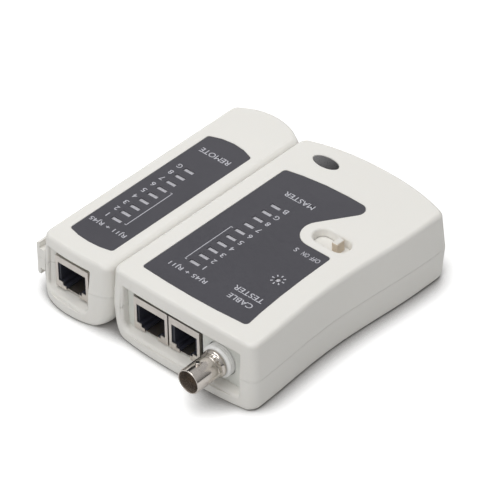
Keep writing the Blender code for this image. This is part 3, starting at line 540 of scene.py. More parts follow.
def recess(case, shape, radii, start):
    """The cutter for a port recess: sides that splay outwards, then rounded lips."""
    near, far = radii
    inner = recess_section(*shape, near, 0.0, 0.0)
    base = recess_section(*shape, far, 1.0, 0.0)
    outer = recess_section(*shape, far, 1.0, 1.0)
    rings = [[(x, RECESS_DEPTH + 1.0, z) for x, z in inner]]
    for k in range(9):
        share = (k / 8) ** 1.2
        section = []
        for first, last, edge in zip(inner, base, outer):
            x, z = between(first, last, share)
            end = face_at(case, *last) + math.dist(last, edge)
            section.append((x, start + (end - start) * k / 8, z))
        rings.append(section)
    for angle in (15, 30, 45, 60, 72, 82):
        turn = math.radians(angle)
        section = []
        for first, edge in zip(base, outer):
            x, z = between(first, edge, 1 - math.cos(turn))
            lip = math.dist(first, edge)
            section.append((x, face_at(case, x, z) + lip * (1 - math.sin(turn)), z))
        rings.append(section)
    rings.append([(x, RECESS_START, z) for x, _, z in rings[-1]])
    return lofted(rings)


MAIN_OPENING = recess(MAIN, MAIN_RECESS, MAIN_CORNERS, PANEL_Y)
REMOTE_OPENING = recess(REMOTE, REMOTE_RECESS, REMOTE_CORNERS, REMOTE_PANEL_Y)


def led_places(leds):
    x, first, names = leds
    return [(name, x, first + LED_PITCH * i) for i, name in enumerate(names)]


def led_windows(case, leds):
    across, along = LED_BAY
    low, high = case.height - WALL - 3.0, case.height + 1
    return [
        block((x - across, y - along, low), (x + across, y + along, high))
        for _, x, y in led_places(leds)
    ]


def dock_slot():
    neck = (RAIL_NECK[0] - GAP, RAIL_NECK[1] + GAP)
    flange = (RAIL_FLANGE[0] - GAP, RAIL_FLANGE[1] + GAP)
    lip = REMOTE.right + NECK_REACH - GAP
    end = REMOTE.right + RAIL_REACH + GAP
    outline = [
        (-6.0, neck[0]), (lip, neck[0]), (lip, flange[0]), (end, flange[0]),
        (end, flange[1]), (lip, flange[1]), (lip, neck[1]), (-6.0, neck[1]),
    ]
    return prism(outline, 2.4, BEYOND, "Y")


def label_pocket(case, outline):
    edge = grown(rounded(outline), 0.12)
    return prism(edge, case.height - LABEL_POCKET, case.height + 2.0)


def door_boxes(spare):
    floor = block(
        (DOOR_X[0] - spare, DOOR_FRONT - spare, -1.0),
        (DOOR_X[1] + spare, BEYOND, DOOR_WALL_TOP + spare),
    )
    wall = block(
        (DOOR_WALL_X[0] - spare, DOOR_WALL_Y - spare, -1.0),
        (DOOR_WALL_X[1] + spare, BEYOND + 1, DOOR_WALL_TOP + spare),
    )
    return floor, wall


def made_half(material, unit, part, cuts):
    """The top or bottom half of a unit's case with its own joins and cuts."""
    case = MAIN if unit == "main" else REMOTE
    shell, steps = case_half(f"{unit}_{part}_case", case, part == "top")
    carved(shell, steps + cuts)
    dressed(shell, material, f"{unit}_unit", (f"{unit}_{part}_shell",))


def pillars(case, places, radius):
    """What the upper half gains and loses around its screws."""
    seam = case.parting + SEAM_GAP / 2
    top = case.height - WALL + 0.5
    posts = [disc(at, radius, seam, top, sides=32) for at in places]
    pilots = [disc(at, PILOT_RADIUS, seam - 1.0, 21.5, sides=24) for at in places]
    return (JOIN, posts), (CUT, pilots)


def bosses(case, places):
    """What the lower half gains and loses around its screws."""
    seam = case.parting - SEAM_GAP / 2
    posts = [disc(at, BOSS_RADIUS, WALL - 0.5, seam, sides=48) for at in places]
    heads = [disc(at, SCREW_HEAD_RADIUS, -1.0, 5.0, sides=48) for at in places]
    shanks = [disc(at, SHANK_RADIUS, 4.0, 18.0, sides=24) for at in places]
    return (JOIN, posts), (CUT, heads), (CUT, shanks)


def switch_well():
    """The flared opening around the switch's thumb grip, widest at the case's top."""
    flare = ((24.0, 15.0, 6.2), (26.6, 15.0, 6.2), (27.4, 15.2, 6.7), (28.3, 15.7, 7.5))
    rim = [
        (28.3 + 0.9 * math.sin(math.radians(a)), 1.1 * (1 - math.cos(math.radians(a))))
        for a in (15, 30, 45, 60, 72, 80)
    ]
    flare += tuple((z, 15.8 + 1.4 * out, 7.6 + 1.9 * out) for z, out in rim)
    flare += ((31.0, flare[-1][1], flare[-1][2]),)
    return lofted([
        [(x, y, z) for x, y in stadium(SWITCH_PLACE, length, width)]
        for z, length, width in flare
    ])


def make_main_top(material):
    case = MAIN
    posts, pilots = pillars(case, MAIN_SCREWS, 3.0)
    badge = ellipse(BADGE_CENTRE, BADGE_SIZE[0] + 0.3, BADGE_SIZE[1] + 0.3)
    made_half(material, "main", "top", [
        posts,
        (JOIN, [prism(stadium(SWITCH_PLACE, 18.0, 10.6), 26.3, case.height - WALL + 0.5)]),
        (CUT, [dock_slot()]),
        (CUT, [MAIN_OPENING]),
        (CUT, [switch_well()]),
        (CUT, [label_pocket(case, MAIN_LABEL),
               prism(badge, case.height - LABEL_POCKET, 31.0)]),
        (CUT, led_windows(case, MAIN_LEDS) + [disc(POWER_LED, 1.3, 25.0, 31.0)]),
        pilots,
    ])


def make_main_bottom(material):
    posts, heads, shanks = bosses(MAIN, MAIN_SCREWS)
    floor, wall = door_boxes(GAP)
    made_half(material, "main", "bottom", [
        posts,
        (JOIN, [block(*BAY_FRONT), block(*BAY_SIDE)]),
        (CUT, [dock_slot()]),
        (CUT, [MAIN_OPENING]),
        (CUT, [floor]),
        (CUT, [wall]),
        heads,
        shanks,
    ])


def make_door(material):
    outline = plan(MAIN)
    rings = [ring(MAIN, z, 0.0, outline) for z in heights(MAIN, 0.0, 9.0)]
    door = new_object("battery_cover", [lofted(rings)])
    floor, wall = door_boxes(0.0)
    left, right = DOOR_X
    low, high = WALL + GAP, DOOR_RAIL_TOP
    start, end = DOOR_RAIL_Y
    carved(door, [
        (CUT, [lofted([cavity_ring(MAIN, z) for z in (WALL, 4.0, 7.0, 12.0)])]),
    ])
    keep = new_object("battery_cover_keep", [floor])
    carved(keep, [(JOIN, [wall])])
    modifier = door.modifiers.new("keep", "BOOLEAN")
    modifier.operation = "INTERSECT"
    modifier.solver = "EXACT"
    modifier.object = keep
    applied(door)
    bpy.data.objects.remove(keep, do_unlink=True)
    grips = []
    for i in range(GRIP_COUNT):
        y = GRIP_Y + GRIP_PITCH * i
        outline = [
            (y - 0.1, -1.0), (y + 1.1, -1.0), (y + 1.0, 0.3),
            (y + 0.8, 0.5), (y + 0.2, 0.5), (y, 0.3),
        ]
        grips.append(prism(outline, *GRIP_X, "X"))
    carved(door, [
        (JOIN, [block((left, start, 1.5), (left + 0.9, end, high)),
                block((right - 0.6, start, 1.5), (right, end, high))]),
        (JOIN, [block((DOOR_WALL_X[0] + 0.1, start, low), (left + 0.5, end, high)),
                block((right - 0.3, start, low), (DOOR_WALL_X[1] - 0.1, end, high))]),
        (CUT, grips),
    ])
    dressed(door, material, "battery_door", ("battery_door",))


def rail_outline(side, out, seam, upper):
    """One half of the T rail's section in x and z, with rounded outer corners."""
    reaches = (NECK_REACH, RAIL_REACH) if out > 0 else (FREE_NECK_REACH, FREE_RAIL_REACH)
    neck, reach = (side + out * far for far in reaches)
    end = 1 if upper else 0
    far, near = RAIL_FLANGE[end], RAIL_NECK[end]
    curl = 0.8 if upper else -0.8
    root = side - out * 1.6
    corner = [
        (reach - out * 0.8 * (1 - math.cos(math.radians(a))),
         far - curl * (1 - math.sin(math.radians(a))))
        for a in (0, 20, 40, 60, 90)
    ]
    return [(root, seam), (reach, seam), *corner, (neck, far), (neck, near), (root, near)]


def remote_rails(upper):
    seam = REMOTE.parting + (SEAM_GAP / 2 if upper else -SEAM_GAP / 2)
    return [
        prism(rail_outline(side, out, seam, upper), start, RAIL_END, "Y")
        for side, out, start in ((REMOTE.left, -1, 0.8), (REMOTE.right, 1, 2.4 + GAP))
    ]


def make_remote_top(material):
    posts, pilots = pillars(REMOTE, REMOTE_SCREWS, 2.6)
    made_half(material, "remote", "top", [
        posts,
        (JOIN, remote_rails(True)),
        (CUT, [REMOTE_OPENING]),
        (CUT, [label_pocket(REMOTE, REMOTE_LABEL)]),
        (CUT, led_windows(REMOTE, REMOTE_LEDS)),
        pilots,
    ])


def make_remote_bottom(material):
    posts, heads, shanks = bosses(REMOTE, REMOTE_SCREWS)
    made_half(material, "remote", "bottom", [
        posts,
        (JOIN, remote_rails(False)),
        (CUT, [REMOTE_OPENING]),
        heads,
        shanks,
    ])


def make_fascia(material):
    """The grey panel behind the recess, with one window for both jacks and a collar hole."""
    sides, splay, lips = MAIN_RECESS
    inner = (sides[0] + 0.03, sides[1] - 0.03, sides[2] + 0.03, sides[3] - 0.03)
    outline = recess_section(inner, splay, lips, MAIN_CORNERS[0], 0.0, 0.0)
    fascia = new_object("main_port_fascia", [prism(outline, PANEL_Y, PANEL_Y + 1.6, "Y")])
    carved(fascia, [
        (CUT, [prism(rectangle(8.2, 41.2, 5.6, 22.4, 0.3), 0.0, 9.0, "Y")]),
        (CUT, [disc((BNC_X, BNC_Z), 6.65, 0.0, 9.0, "Y", 72)]),
    ])
    dressed(fascia, material, "main_unit", ("main_port_panel",))


# Labels and print


def film(name, case, outline, leds, lamps, material, body, node):
    """A label film with a window for each lamp. Returns the height of its face."""
    low = case.height - LABEL_POCKET + FILM_GAP
    across, along = LED_WINDOW
    windows = [
        prism(rectangle(x - across, x + across, y - along, y + along, 0.12), 20.0, 31.0)
        for _, x, y in led_places(leds)
    ]
    label = new_object(name, [prism(rounded(outline), low, low + FILM_THICKNESS)])
    carved(label, [(CUT, windows + lamps)])
    dressed(label, material, body, (node,))
    return low + FILM_THICKNESS


def lettering(text, bounds, level):
    """Solid letters that fill the bounds (left, right, near, far), read from the far end."""
    curve = bpy.data.curves.new("lettering", "FONT")
    curve.body = text
    curve.size = 1.0
    curve.offset = FONT_WEIGHT
    curve.extrude = 0.5
    curve.resolution_u = 3
    drawn = bpy.data.objects.new("lettering", curve)
    mesh = bpy.data.meshes.new_from_object(drawn)
    bm = bmesh.new()
    bm.from_mesh(mesh)
    bmesh.ops.remove_doubles(bm, verts=bm.verts, dist=1e-5)
    points = [v.co.copy() for v in bm.verts]
    faces = [tuple(v.index for v in f.verts) for f in bm.faces]
    bm.free()
    bpy.data.objects.remove(drawn, do_unlink=True)
    bpy.data.curves.remove(curve)
    bpy.data.meshes.remove(mesh)
    low_u, high_u = min(p.x for p in points), max(p.x for p in points)
    low_v, high_v = min(p.y for p in points), max(p.y for p in points)
    left, right, near, far = bounds
    corners = [
        (
            right - (p.x - low_u) / (high_u - low_u) * (right - left),
            far - (p.y - low_v) / (high_v - low_v) * (far - near),
            level + (PRINT_HEIGHT if p.z > 0 else -PRINT_FOOT),
        )
        for p in points
    ]
    return corners, faces


def bracket(x, hook_x, start, end, level):
    """A printed line beside the lamps, with a short hook towards them at each end."""
    half = LINE_WIDTH / 2
    low, high = level - PRINT_FOOT, level + PRINT_HEIGHT
    left, right = min(x, hook_x) - half, max(x, hook_x) + half
    return [
        block((left, start - half, low), (right, start + half, high)),
        block((x - half, start + LINE_WIDTH, low), (x + half, end - LINE_WIDTH, high)),
        block((left, end - half, low), (right, end + half, high)),
    ]


def ray_marks(centre, level):
    """The lamp symbol: eight short rays around a ring."""
    found = []
    for k in range(8):
        angle = 2 * math.pi * k / 8
        out = Vector((math.cos(angle), math.sin(angle)))
        across = Vector((-out.y, out.x))
        inner, outer = 1.75, 2.75
        outline = [
            tuple(Vector(centre) + out * inner - across * 0.16),
            tuple(Vector(centre) + out * outer - across * 0.3),
            tuple(Vector(centre) + out * outer + across * 0.3),
            tuple(Vector(centre) + out * inner + across * 0.16),
        ]
        found.append(prism(outline, level - PRINT_FOOT, level + PRINT_HEIGHT))
    return found


def print_piece(name, solids, material, body):
    piece = new_object(name, solids)
    dressed(piece, material, body, (), weighted=False)


def digits(leds, low_x, high_x, level):
    found = []
    for name, _, y in led_places(leds):
        middle, half = (low_x + high_x) / 2, DIGIT_WIDTHS.get(name, DIGIT_WIDTH) / 2
        found.append(lettering(name, (middle - half, middle + half, y - 1.05, y + 1.25), level))
    return found


def make_main_label(ink, white):
    lamp = prism(ellipse(POWER_LED, 2.2, 2.2), 20.0, 31.0)
    level = film("main_film", MAIN, MAIN_LABEL, MAIN_LEDS, [lamp], ink, "main_unit", "main_label")
    marks = digits(MAIN_LEDS, 23.6, 25.6, level)
    marks += bracket(15.7, 16.4, 21.2, 44.9, level)
    marks += [lettering(text, bounds, level) for text, bounds in MAIN_WORDS]
    marks += ray_marks(POWER_LED, level)
    print_piece("main_print", marks, white, "main_unit")


def make_remote_label(ink, white):
    level = film(
        "remote_film", REMOTE, REMOTE_LABEL, REMOTE_LEDS, [], ink, "remote_unit", "remote_label"
    )
    marks = digits(REMOTE_LEDS, -24.9, -23.1, level)
    marks += bracket(-14.8, -15.5, 23.0, 46.85, level)
    marks += [lettering(text, bounds, level) for text, bounds in REMOTE_WORDS]
    print_piece("remote_print", marks, white, "remote_unit")


def make_badge(material):
    rings = []
    base = MAIN.height - LABEL_POCKET + 0.02
    for out, z in ((0.0, base), (0.0, BADGE_TOP), (-0.14, 29.12), (-0.5, 29.16)):
        size = (BADGE_SIZE[0] + 2 * out, BADGE_SIZE[1] + 2 * out)
        rings.append([(x, y, z) for x, y in ellipse(BADGE_CENTRE, *size)])
    badge = new_object("main_badge_plate", [lofted(rings)])
    dressed(badge, material, "main_unit", ("main_badge",))


# Coaxial jack


def make_bnc(white, metal, pale, gold):
    centre = (BNC_X, 0.0, BNC_Z)
    crest, root = THREAD_CREST, THREAD_ROOT
    # A rounded nose, then a fine thread down to the nut inside the case
    profile = [(0.0, 0.3), (5.35, 0.3), (5.6, 0.26), (5.8, 0.12), (5.9, -0.1)]
    foot = -0.25
    while foot > THREAD_END:
        profile += [
            (crest - 0.06, foot - 0.12), (crest, foot - 0.2), (crest, foot - 0.36),
            (root, foot - 0.6), (root, foot - 0.72),
        ]
        foot -= THREAD_PITCH
    profile += [(crest - 0.1, -6.9), (0.0, -6.9)]
    collar = new_object("bnc_threaded_collar", [turned(profile, centre)])
    carved(collar, [
        (JOIN, [block((43.0, 6.8, 7.4), (57.0, 17.5, 19.9))]),
        (CUT, [disc((BNC_X, BNC_Z), 3.95, -1.0, 13.0, "Y", 64)]),
    ])
    dressed(collar, white, "main_unit", ("bnc_collar",))

    radius, tip = BARREL_RADIUS, BARREL_TIP
    profile = [
        (4.38, tip - 0.05), (4.5, tip), (4.62, tip), (4.77, tip - 0.08), (radius, tip - 0.26),
        (radius, 4.7), (radius - 0.12, 4.55), (radius - 0.12, 3.9), (radius, 3.75),
        (radius, 2.2), (5.0, 1.9), (5.3, 1.6), (5.42, 1.3), (5.42, 0.75), (5.3, 0.6),
        (3.6, 0.6), (3.6, -7.0), (2.9, -7.0), (2.9, 4.6), (4.15, 4.6), (4.2, tip - 0.6),
    ]
    barrel = new_object("bnc_shell", [turned(profile, centre)])
    knurls = []
    for k in range(KNURLS):
        angle = 2 * math.pi * k / KNURLS
        x, z = BNC_X + KNURL_REACH * math.cos(angle), BNC_Z + KNURL_REACH * math.sin(angle)
        knurls.append(disc((x, z), KNURL_RADIUS, -3.5, -2.1, "Y", 10))
    studs = [
        lofted([
            [(BNC_X + r * math.cos(t), -9.3 + r * math.sin(t), z)
             for t in (2 * math.pi * k / 32 for k in range(32))]
            for r, z in levels
        ])
        for levels in (
            ((0.95, BNC_Z + 4.5), (0.95, BNC_Z + 5.7), (0.85, BNC_Z + 5.82), (0.7, BNC_Z + 5.86)),
            ((0.7, BNC_Z - 5.86), (0.85, BNC_Z - 5.82), (0.95, BNC_Z - 5.7), (0.95, BNC_Z - 4.5)),
        )
    ]
    carved(barrel, [(CUT, knurls), (JOIN, studs)])
    dressed(barrel, metal, "main_unit", ("bnc_barrel",))

    sleeve = [
        (2.45, 7.4), (2.6, 7.25), (2.6, -6.8), (1.0, -6.8), (1.0, 6.2), (1.35, 7.2), (1.5, 7.4)
    ]
    insulator = new_object("bnc_sleeve", [turned(sleeve, centre, sides=64)])
    dressed(insulator, pale, "main_unit", ("bnc_insulator",))
    pin = [(0.0, 6.6), (0.3, 6.6), (0.34, 6.95), (0.6, 6.95), (0.7, 6.8), (0.7, -12.0), (0.0, -12.0)]
    contact = new_object("bnc_contact", [turned(pin, centre, sides=40)])
    dressed(contact, gold, "main_unit", ("bnc_centre_contact",))


def make_power_lamp(lens):
    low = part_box("power_led")[0].z / MM
    dome = [
        (1.05 * math.cos(math.radians(a)), 6.5 + 0.55 * math.sin(math.radians(a)))
        for a in range(0, 90, 12)
    ]
    profile = [
        (0.0, 7.05), *reversed(dome), (1.05, 1.0), (1.7, 1.0), (1.7, 0.0), (0.0, 0.0)
    ]
    lamp = new_object("power_lamp", [turned(profile, (*POWER_LED, low), "Z", 48)])
    dressed(lamp, lens, "main_unit", ("power_led",))


# Materials


class Graph:
    """A short way to write a material's node tree, or a world's."""

    def __init__(self, name, world=None):
        self.material = world or bpy.data.materials.new(name)
        self.material.use_nodes = True
        self.tree = self.material.node_tree
        self.shader = self.tree.nodes["Background" if world else "Principled BSDF"]
        self.place = self.node("ShaderNodeTexCoord").outputs["Generated" if world else "Object"]

    def node(self, kind, **settings):
        made = self.tree.nodes.new(kind)
        for key, value in settings.items():
            setattr(made, key, value)
        return made

    def fill(self, node, *first, **named):
        """Values or links for a node's inputs, in order or by name."""
        for key, value in (*enumerate(first), *named.items()):
            socket = node.inputs[key.replace("_", " ") if key in named else key]
            if isinstance(value, bpy.types.NodeSocket):
                self.tree.links.new(value, socket)
            else:
                socket.default_value = value
        return node

    def set(self, **values):
        self.fill(self.shader, **values)

    def axis(self, name, vector=None):
        return self.fill(self.node("ShaderNodeSeparateXYZ"), vector or self.place).outputs[name]

    def noise(self, per_mm, detail=3.0, rough=0.55, stretch=(1, 1, 1)):
        place = self.place
        if stretch != (1, 1, 1):
            mapping = self.fill(self.node("ShaderNodeMapping"), Vector=place, Scale=stretch)
            place = mapping.outputs["Vector"]
        noise = self.node("ShaderNodeTexNoise")
        self.fill(noise, Vector=place, Scale=per_mm / MM, Detail=detail, Roughness=rough)
        return noise.outputs["Fac"]

    def span(self, value, low, high, start=0.3, end=0.7):
        """value between start and end, mapped to low and high."""
        node = self.node("ShaderNodeMapRange")
        self.fill(node, Value=value, From_Min=start, From_Max=end, To_Min=low, To_Max=high)
        return node.outputs["Result"]

    def mix(self, share, first, second):
        node = self.node("ShaderNodeMix", data_type="RGBA")
        return self.fill(node, Factor=share, A=first, B=second).outputs["Result"]

    def math(self, operation, *values):
        return self.fill(self.node("ShaderNodeMath", operation=operation), *values).outputs[0]

    def times(self, first, second):
        return self.math("MULTIPLY", first, second)

    def dot(self, first, second):
        node = self.node("ShaderNodeVectorMath", operation="DOT_PRODUCT")
        return self.fill(node, first, second).outputs["Value"]

    def edges(self, radius):
        """The softened normal, and a mask that is 1 on edges."""
        bevel = self.fill(self.node("ShaderNodeBevel", samples=4), Radius=radius * MM)
        soft = bevel.outputs["Normal"]
        plain = self.node("ShaderNodeNewGeometry").outputs["Normal"]
        return soft, self.span(self.dot(soft, plain), 1.0, 0.0, 0.8, 0.995)

    def bump(self, height, depth_mm, normal=None, strength=1.0):
        bump = self.node("ShaderNodeBump")
        self.fill(bump, Strength=strength, Distance=depth_mm * MM, Height=height)
        if normal is not None:
            self.fill(bump, Normal=normal)
        return bump.outputs["Normal"]

    def done(self, tone, roughness, height, depth, normal=None, strength=0.5, **others):
        self.set(Base_Color=tone, Roughness=roughness, **others)
        self.set(Normal=self.bump(height, depth, normal, strength))
        return self.material


def rgb(red, green, blue):
    """Linear colour of an sRGB one given in 0..255."""
    def linear(value):
        value /= 255
        return value / 12.92 if value <= 0.04045 else ((value + 0.055) / 1.055) ** 2.4
    return (linear(red), linear(green), linear(blue), 1.0)


def shaded(colour, factor):
    return (*[min(1.0, c * factor) for c in colour[:3]], 1.0)


def abs_plastic(name, colour, rough=(0.40, 0.5)):
    """Moulded ABS: a fine spark-eroded grain, faint clouding, and edges that wear makes smoother and
    that are painted lighter as a painted highlight.
    """
    g = Graph(name)
    cloud = g.noise(0.02, 2.0)
    tone = g.mix(g.span(cloud, 0.0, 1.0), colour, shaded(colour, 0.975))
    fine = g.noise(2.4, 3.0)
    tone = g.mix(g.span(fine, 0.0, 0.35), tone, shaded(colour, 1.03))
    normal, mask = g.edges(0.35)
    wear_and_painted_light = g.times(mask, g.span(g.noise(0.5, 4.0), 0.2, 1.0))
    # Painted highlight: the edge mask lightens the colour along edges; it also makes them smoother.
    tone = g.mix(wear_and_painted_light, tone, shaded(colour, 1.05))
    roughness = g.math("SUBTRACT", g.span(fine, *rough), g.times(wear_and_painted_light, 0.12))
    g.set(Subsurface_Weight=0.06, Subsurface_Radius=(1.0, 0.9, 0.75), Subsurface_Scale=0.0012)
    return g.done(tone, roughness, g.noise(3.0, 2.0), 0.012, normal, IOR=1.5)


def label_ink(name):
    """Dark screen-printed film under a clear coat, with the film's slight orange peel."""
    g = Graph(name)
    base = rgb(67, 66, 72)
    tone = g.mix(g.span(g.noise(0.05, 3.0), 0.0, 1.0), base, shaded(base, 1.12))
    tone = g.mix(g.span(g.noise(5.0, 2.0), 0.0, 0.5), tone, shaded(base, 1.25))
    rough = g.span(g.noise(0.9, 3.0), 0.3, 0.4)
    return g.done(tone, rough, g.noise(1.6, 2.0), 0.006, None, 0.4, IOR=1.5)


def print_ink(name, colour):
    g = Graph(name)
    tone = g.mix(g.span(g.noise(3.0, 3.0), 0.0, 1.0), colour, shaded(colour, 0.88))
    return g.done(tone, g.span(g.noise(4.0), 0.45, 0.6), g.noise(4.0), 0.004, None, 0.4)


def badge_film(name):
    """A dark, faintly metallic domed badge whose colour ramps from mid grey at its left end to near
    black at its right.
    """
    g = Graph(name)
    low = (BADGE_CENTRE[0] - 6 - ORIGIN.x) * MM
    high = (BADGE_CENTRE[0] + 6 - ORIGIN.x) * MM
    ramp = g.span(g.axis("X"), 0.0, 1.0, low, high)
    tone = g.mix(ramp, rgb(124, 123, 124), rgb(30, 29, 31))
    tone = g.mix(g.span(g.noise(2.0, 3.0), 0.0, 0.2), tone, rgb(84, 83, 85))
    rough = g.span(g.noise(3.0), 0.25, 0.36)
    return g.done(tone, rough, g.noise(3.0), 0.006, None, 0.4, Metallic=0.25)


def metal(name, colour, rough, stretch=(1, 1, 1), depth=0.006, dull=(0.5, 0.72), bore_shade=None):
    """Plated sheet or turned metal: drawing lines, soft tarnish, and edges painted brighter as a
    painted highlight.

    Where a colour for the mouth is given, the wall of the barrel's mouth is rougher, less metallic
    and painted that darker colour as painted shade inside it.
    """
    g = Graph(name)
    lines = g.noise(2.2, 4.0, 0.6, stretch)
    tarnish = g.noise(0.25, 5.0)
    tone = g.mix(g.span(tarnish, 0.0, dull[0]), colour, shaded(colour, dull[1]))
    normal, mask = g.edges(0.15)
    # Painted highlight: the colour is lighter along edges.
    tone = g.mix(g.times(mask, 0.5), tone, shaded(colour, 1.15))
    roughness = g.math("ADD", g.span(lines, *rough), g.span(tarnish, 0.0, 0.06))
    metallic = 1.0
    if bore_shade:
        across = g.math("SUBTRACT", g.axis("X"), (BNC_X - ORIGIN.x) * MM)
        above = g.math("SUBTRACT", g.axis("Z"), (BNC_Z - ORIGIN.z) * MM)
        squares = [g.times(way, way) for way in (across, above)]
        reach = g.math("SQRT", g.math("ADD", *squares))
        inside = g.span(reach, 1.0, 0.0, BARREL_BORE * MM, (BARREL_BORE + 0.15) * MM)
        # Painted shade: the wall inside the mouth takes the darker colour.
        tone = g.mix(inside, tone, bore_shade)
        roughness = g.math("ADD", roughness, g.times(inside, 0.14))
        metallic = g.math("SUBTRACT", 1.0, g.times(inside, 0.35))
    return g.done(tone, roughness, lines, depth, normal, Metallic=metallic)


def moulded(name, colour, rough=(0.4, 0.55), depth=0.01, edge=0.15):
    """Smaller mouldings: nylon, vinyl, resin and the like, with edges painted lighter as a painted
    highlight.
    """
    g = Graph(name)
    tone = g.mix(g.span(g.noise(0.3, 4.0), 0.0, 1.0), colour, shaded(colour, 0.85))
    normal, mask = g.edges(edge)
    # Painted highlight: edges get a lighter colour.
    edge_highlight = tuple(min(1.0, c * 1.25 + 0.004) for c in colour[:3])
    tone = g.mix(g.times(mask, 0.6), tone, (*edge_highlight, 1.0))
    grain = g.noise(2.5, 3.0)
    return g.done(tone, g.span(grain, *rough), grain, depth, normal)


def lamp_lens(name, colour):
    """Milky epoxy of an unlit lamp, with a fine moulded face and edges painted lighter as a painted
    highlight.
    """
    g = Graph(name)
    tone = g.mix(g.span(g.noise(1.2, 3.0), 0.0, 1.0), colour, shaded(colour, 0.9))
    normal, mask = g.edges(0.12)
    # Painted highlight: edges get a lighter colour.
    tone = g.mix(g.times(mask, 0.7), tone, shaded(colour, 1.2))
    g.set(Subsurface_Weight=0.25, Subsurface_Radius=(1.0, 1.0, 1.0), Subsurface_Scale=0.0008)
    rough = g.span(g.noise(2.0), 0.22, 0.34)
    return g.done(tone, rough, g.noise(2.5), 0.008, normal, 0.4, IOR=1.52)


def laminate(name):
    """Green solder mask over a copper pattern of fine tracks."""
    g = Graph(name)
    brick = g.node("ShaderNodeTexBrick")
    g.fill(brick, Vector=g.place, Scale=260.0, Mortar_Size=0.03, Mortar=(0.05, 0.3, 0.14, 1))
    g.fill(brick, Color1=(0.02, 0.16, 0.07, 1), Color2=(0.025, 0.2, 0.09, 1))
    tone = g.mix(g.span(g.noise(0.4, 4.0), 0.0, 0.4), brick.outputs["Color"], (0.01, 0.1, 0.05, 1))
    return g.done(tone, g.span(g.noise(1.5), 0.3, 0.45), brick.outputs["Fac"], 0.02)


def battery_jacket(name):
    """A plain two-tone jacket: dark body and a paler band, with soft scuffs."""
    g = Graph(name)
    edge = (20.0 - ORIGIN.x) * MM
    band = g.span(g.axis("X"), 1.0, 0.0, edge, edge + 0.0001)
    tone = g.mix(band, (0.012, 0.016, 0.035, 1), (0.35, 0.2, 0.05, 1))
    tone = g.mix(g.span(g.noise(0.3, 5.0), 0.0, 0.25), tone, (0.12, 0.12, 0.13, 1))
    rough = g.span(g.noise(0.8, 4.0), 0.25, 0.42)
    return g.done(tone, rough, g.noise(0.7, 3.0), 0.02, None, 0.4, Metallic=0.3)


def knob_plastic(name, cover, cap):
    """The switch's plate in the case's colour, and its thumb grip in a warmer one, with the grip's
    upward faces painted pale as a painted reflection and its edges painted lighter as a painted
    highlight.
    """
    g = Graph(name)
    share = g.span(g.axis("Z"), 0.0, 1.0, 26.12 * MM, 26.2 * MM)
    up = g.axis("Z", g.node("ShaderNodeNewGeometry").outputs["Normal"])
    # Painted reflection: faces of the grip that point up get a pale colour, its sides keep the
    # warmer one; random patches of the warmer colour follow.
    wear_and_painted_light = g.mix(g.span(up, 0.0, 1.0, 0.5, 0.9), cap, shaded(cover, 0.93))
    wear_and_painted_light = g.mix(g.span(g.noise(0.6, 3.0), 0.0, 0.3), wear_and_painted_light, shaded(cap, 0.93))
    tone = g.mix(share, cover, wear_and_painted_light)
    normal, mask = g.edges(0.3)
    # Painted highlight: edges get a lighter colour.
    tone = g.mix(g.times(mask, 0.6), tone, shaded(cap, 1.1))
    return g.done(tone, g.span(g.noise(2.0), 0.36, 0.48), g.noise(2.5), 0.012, normal)


# Putting it together

CASE_COLOUR = (0.80, 0.785, 0.745, 1.0)


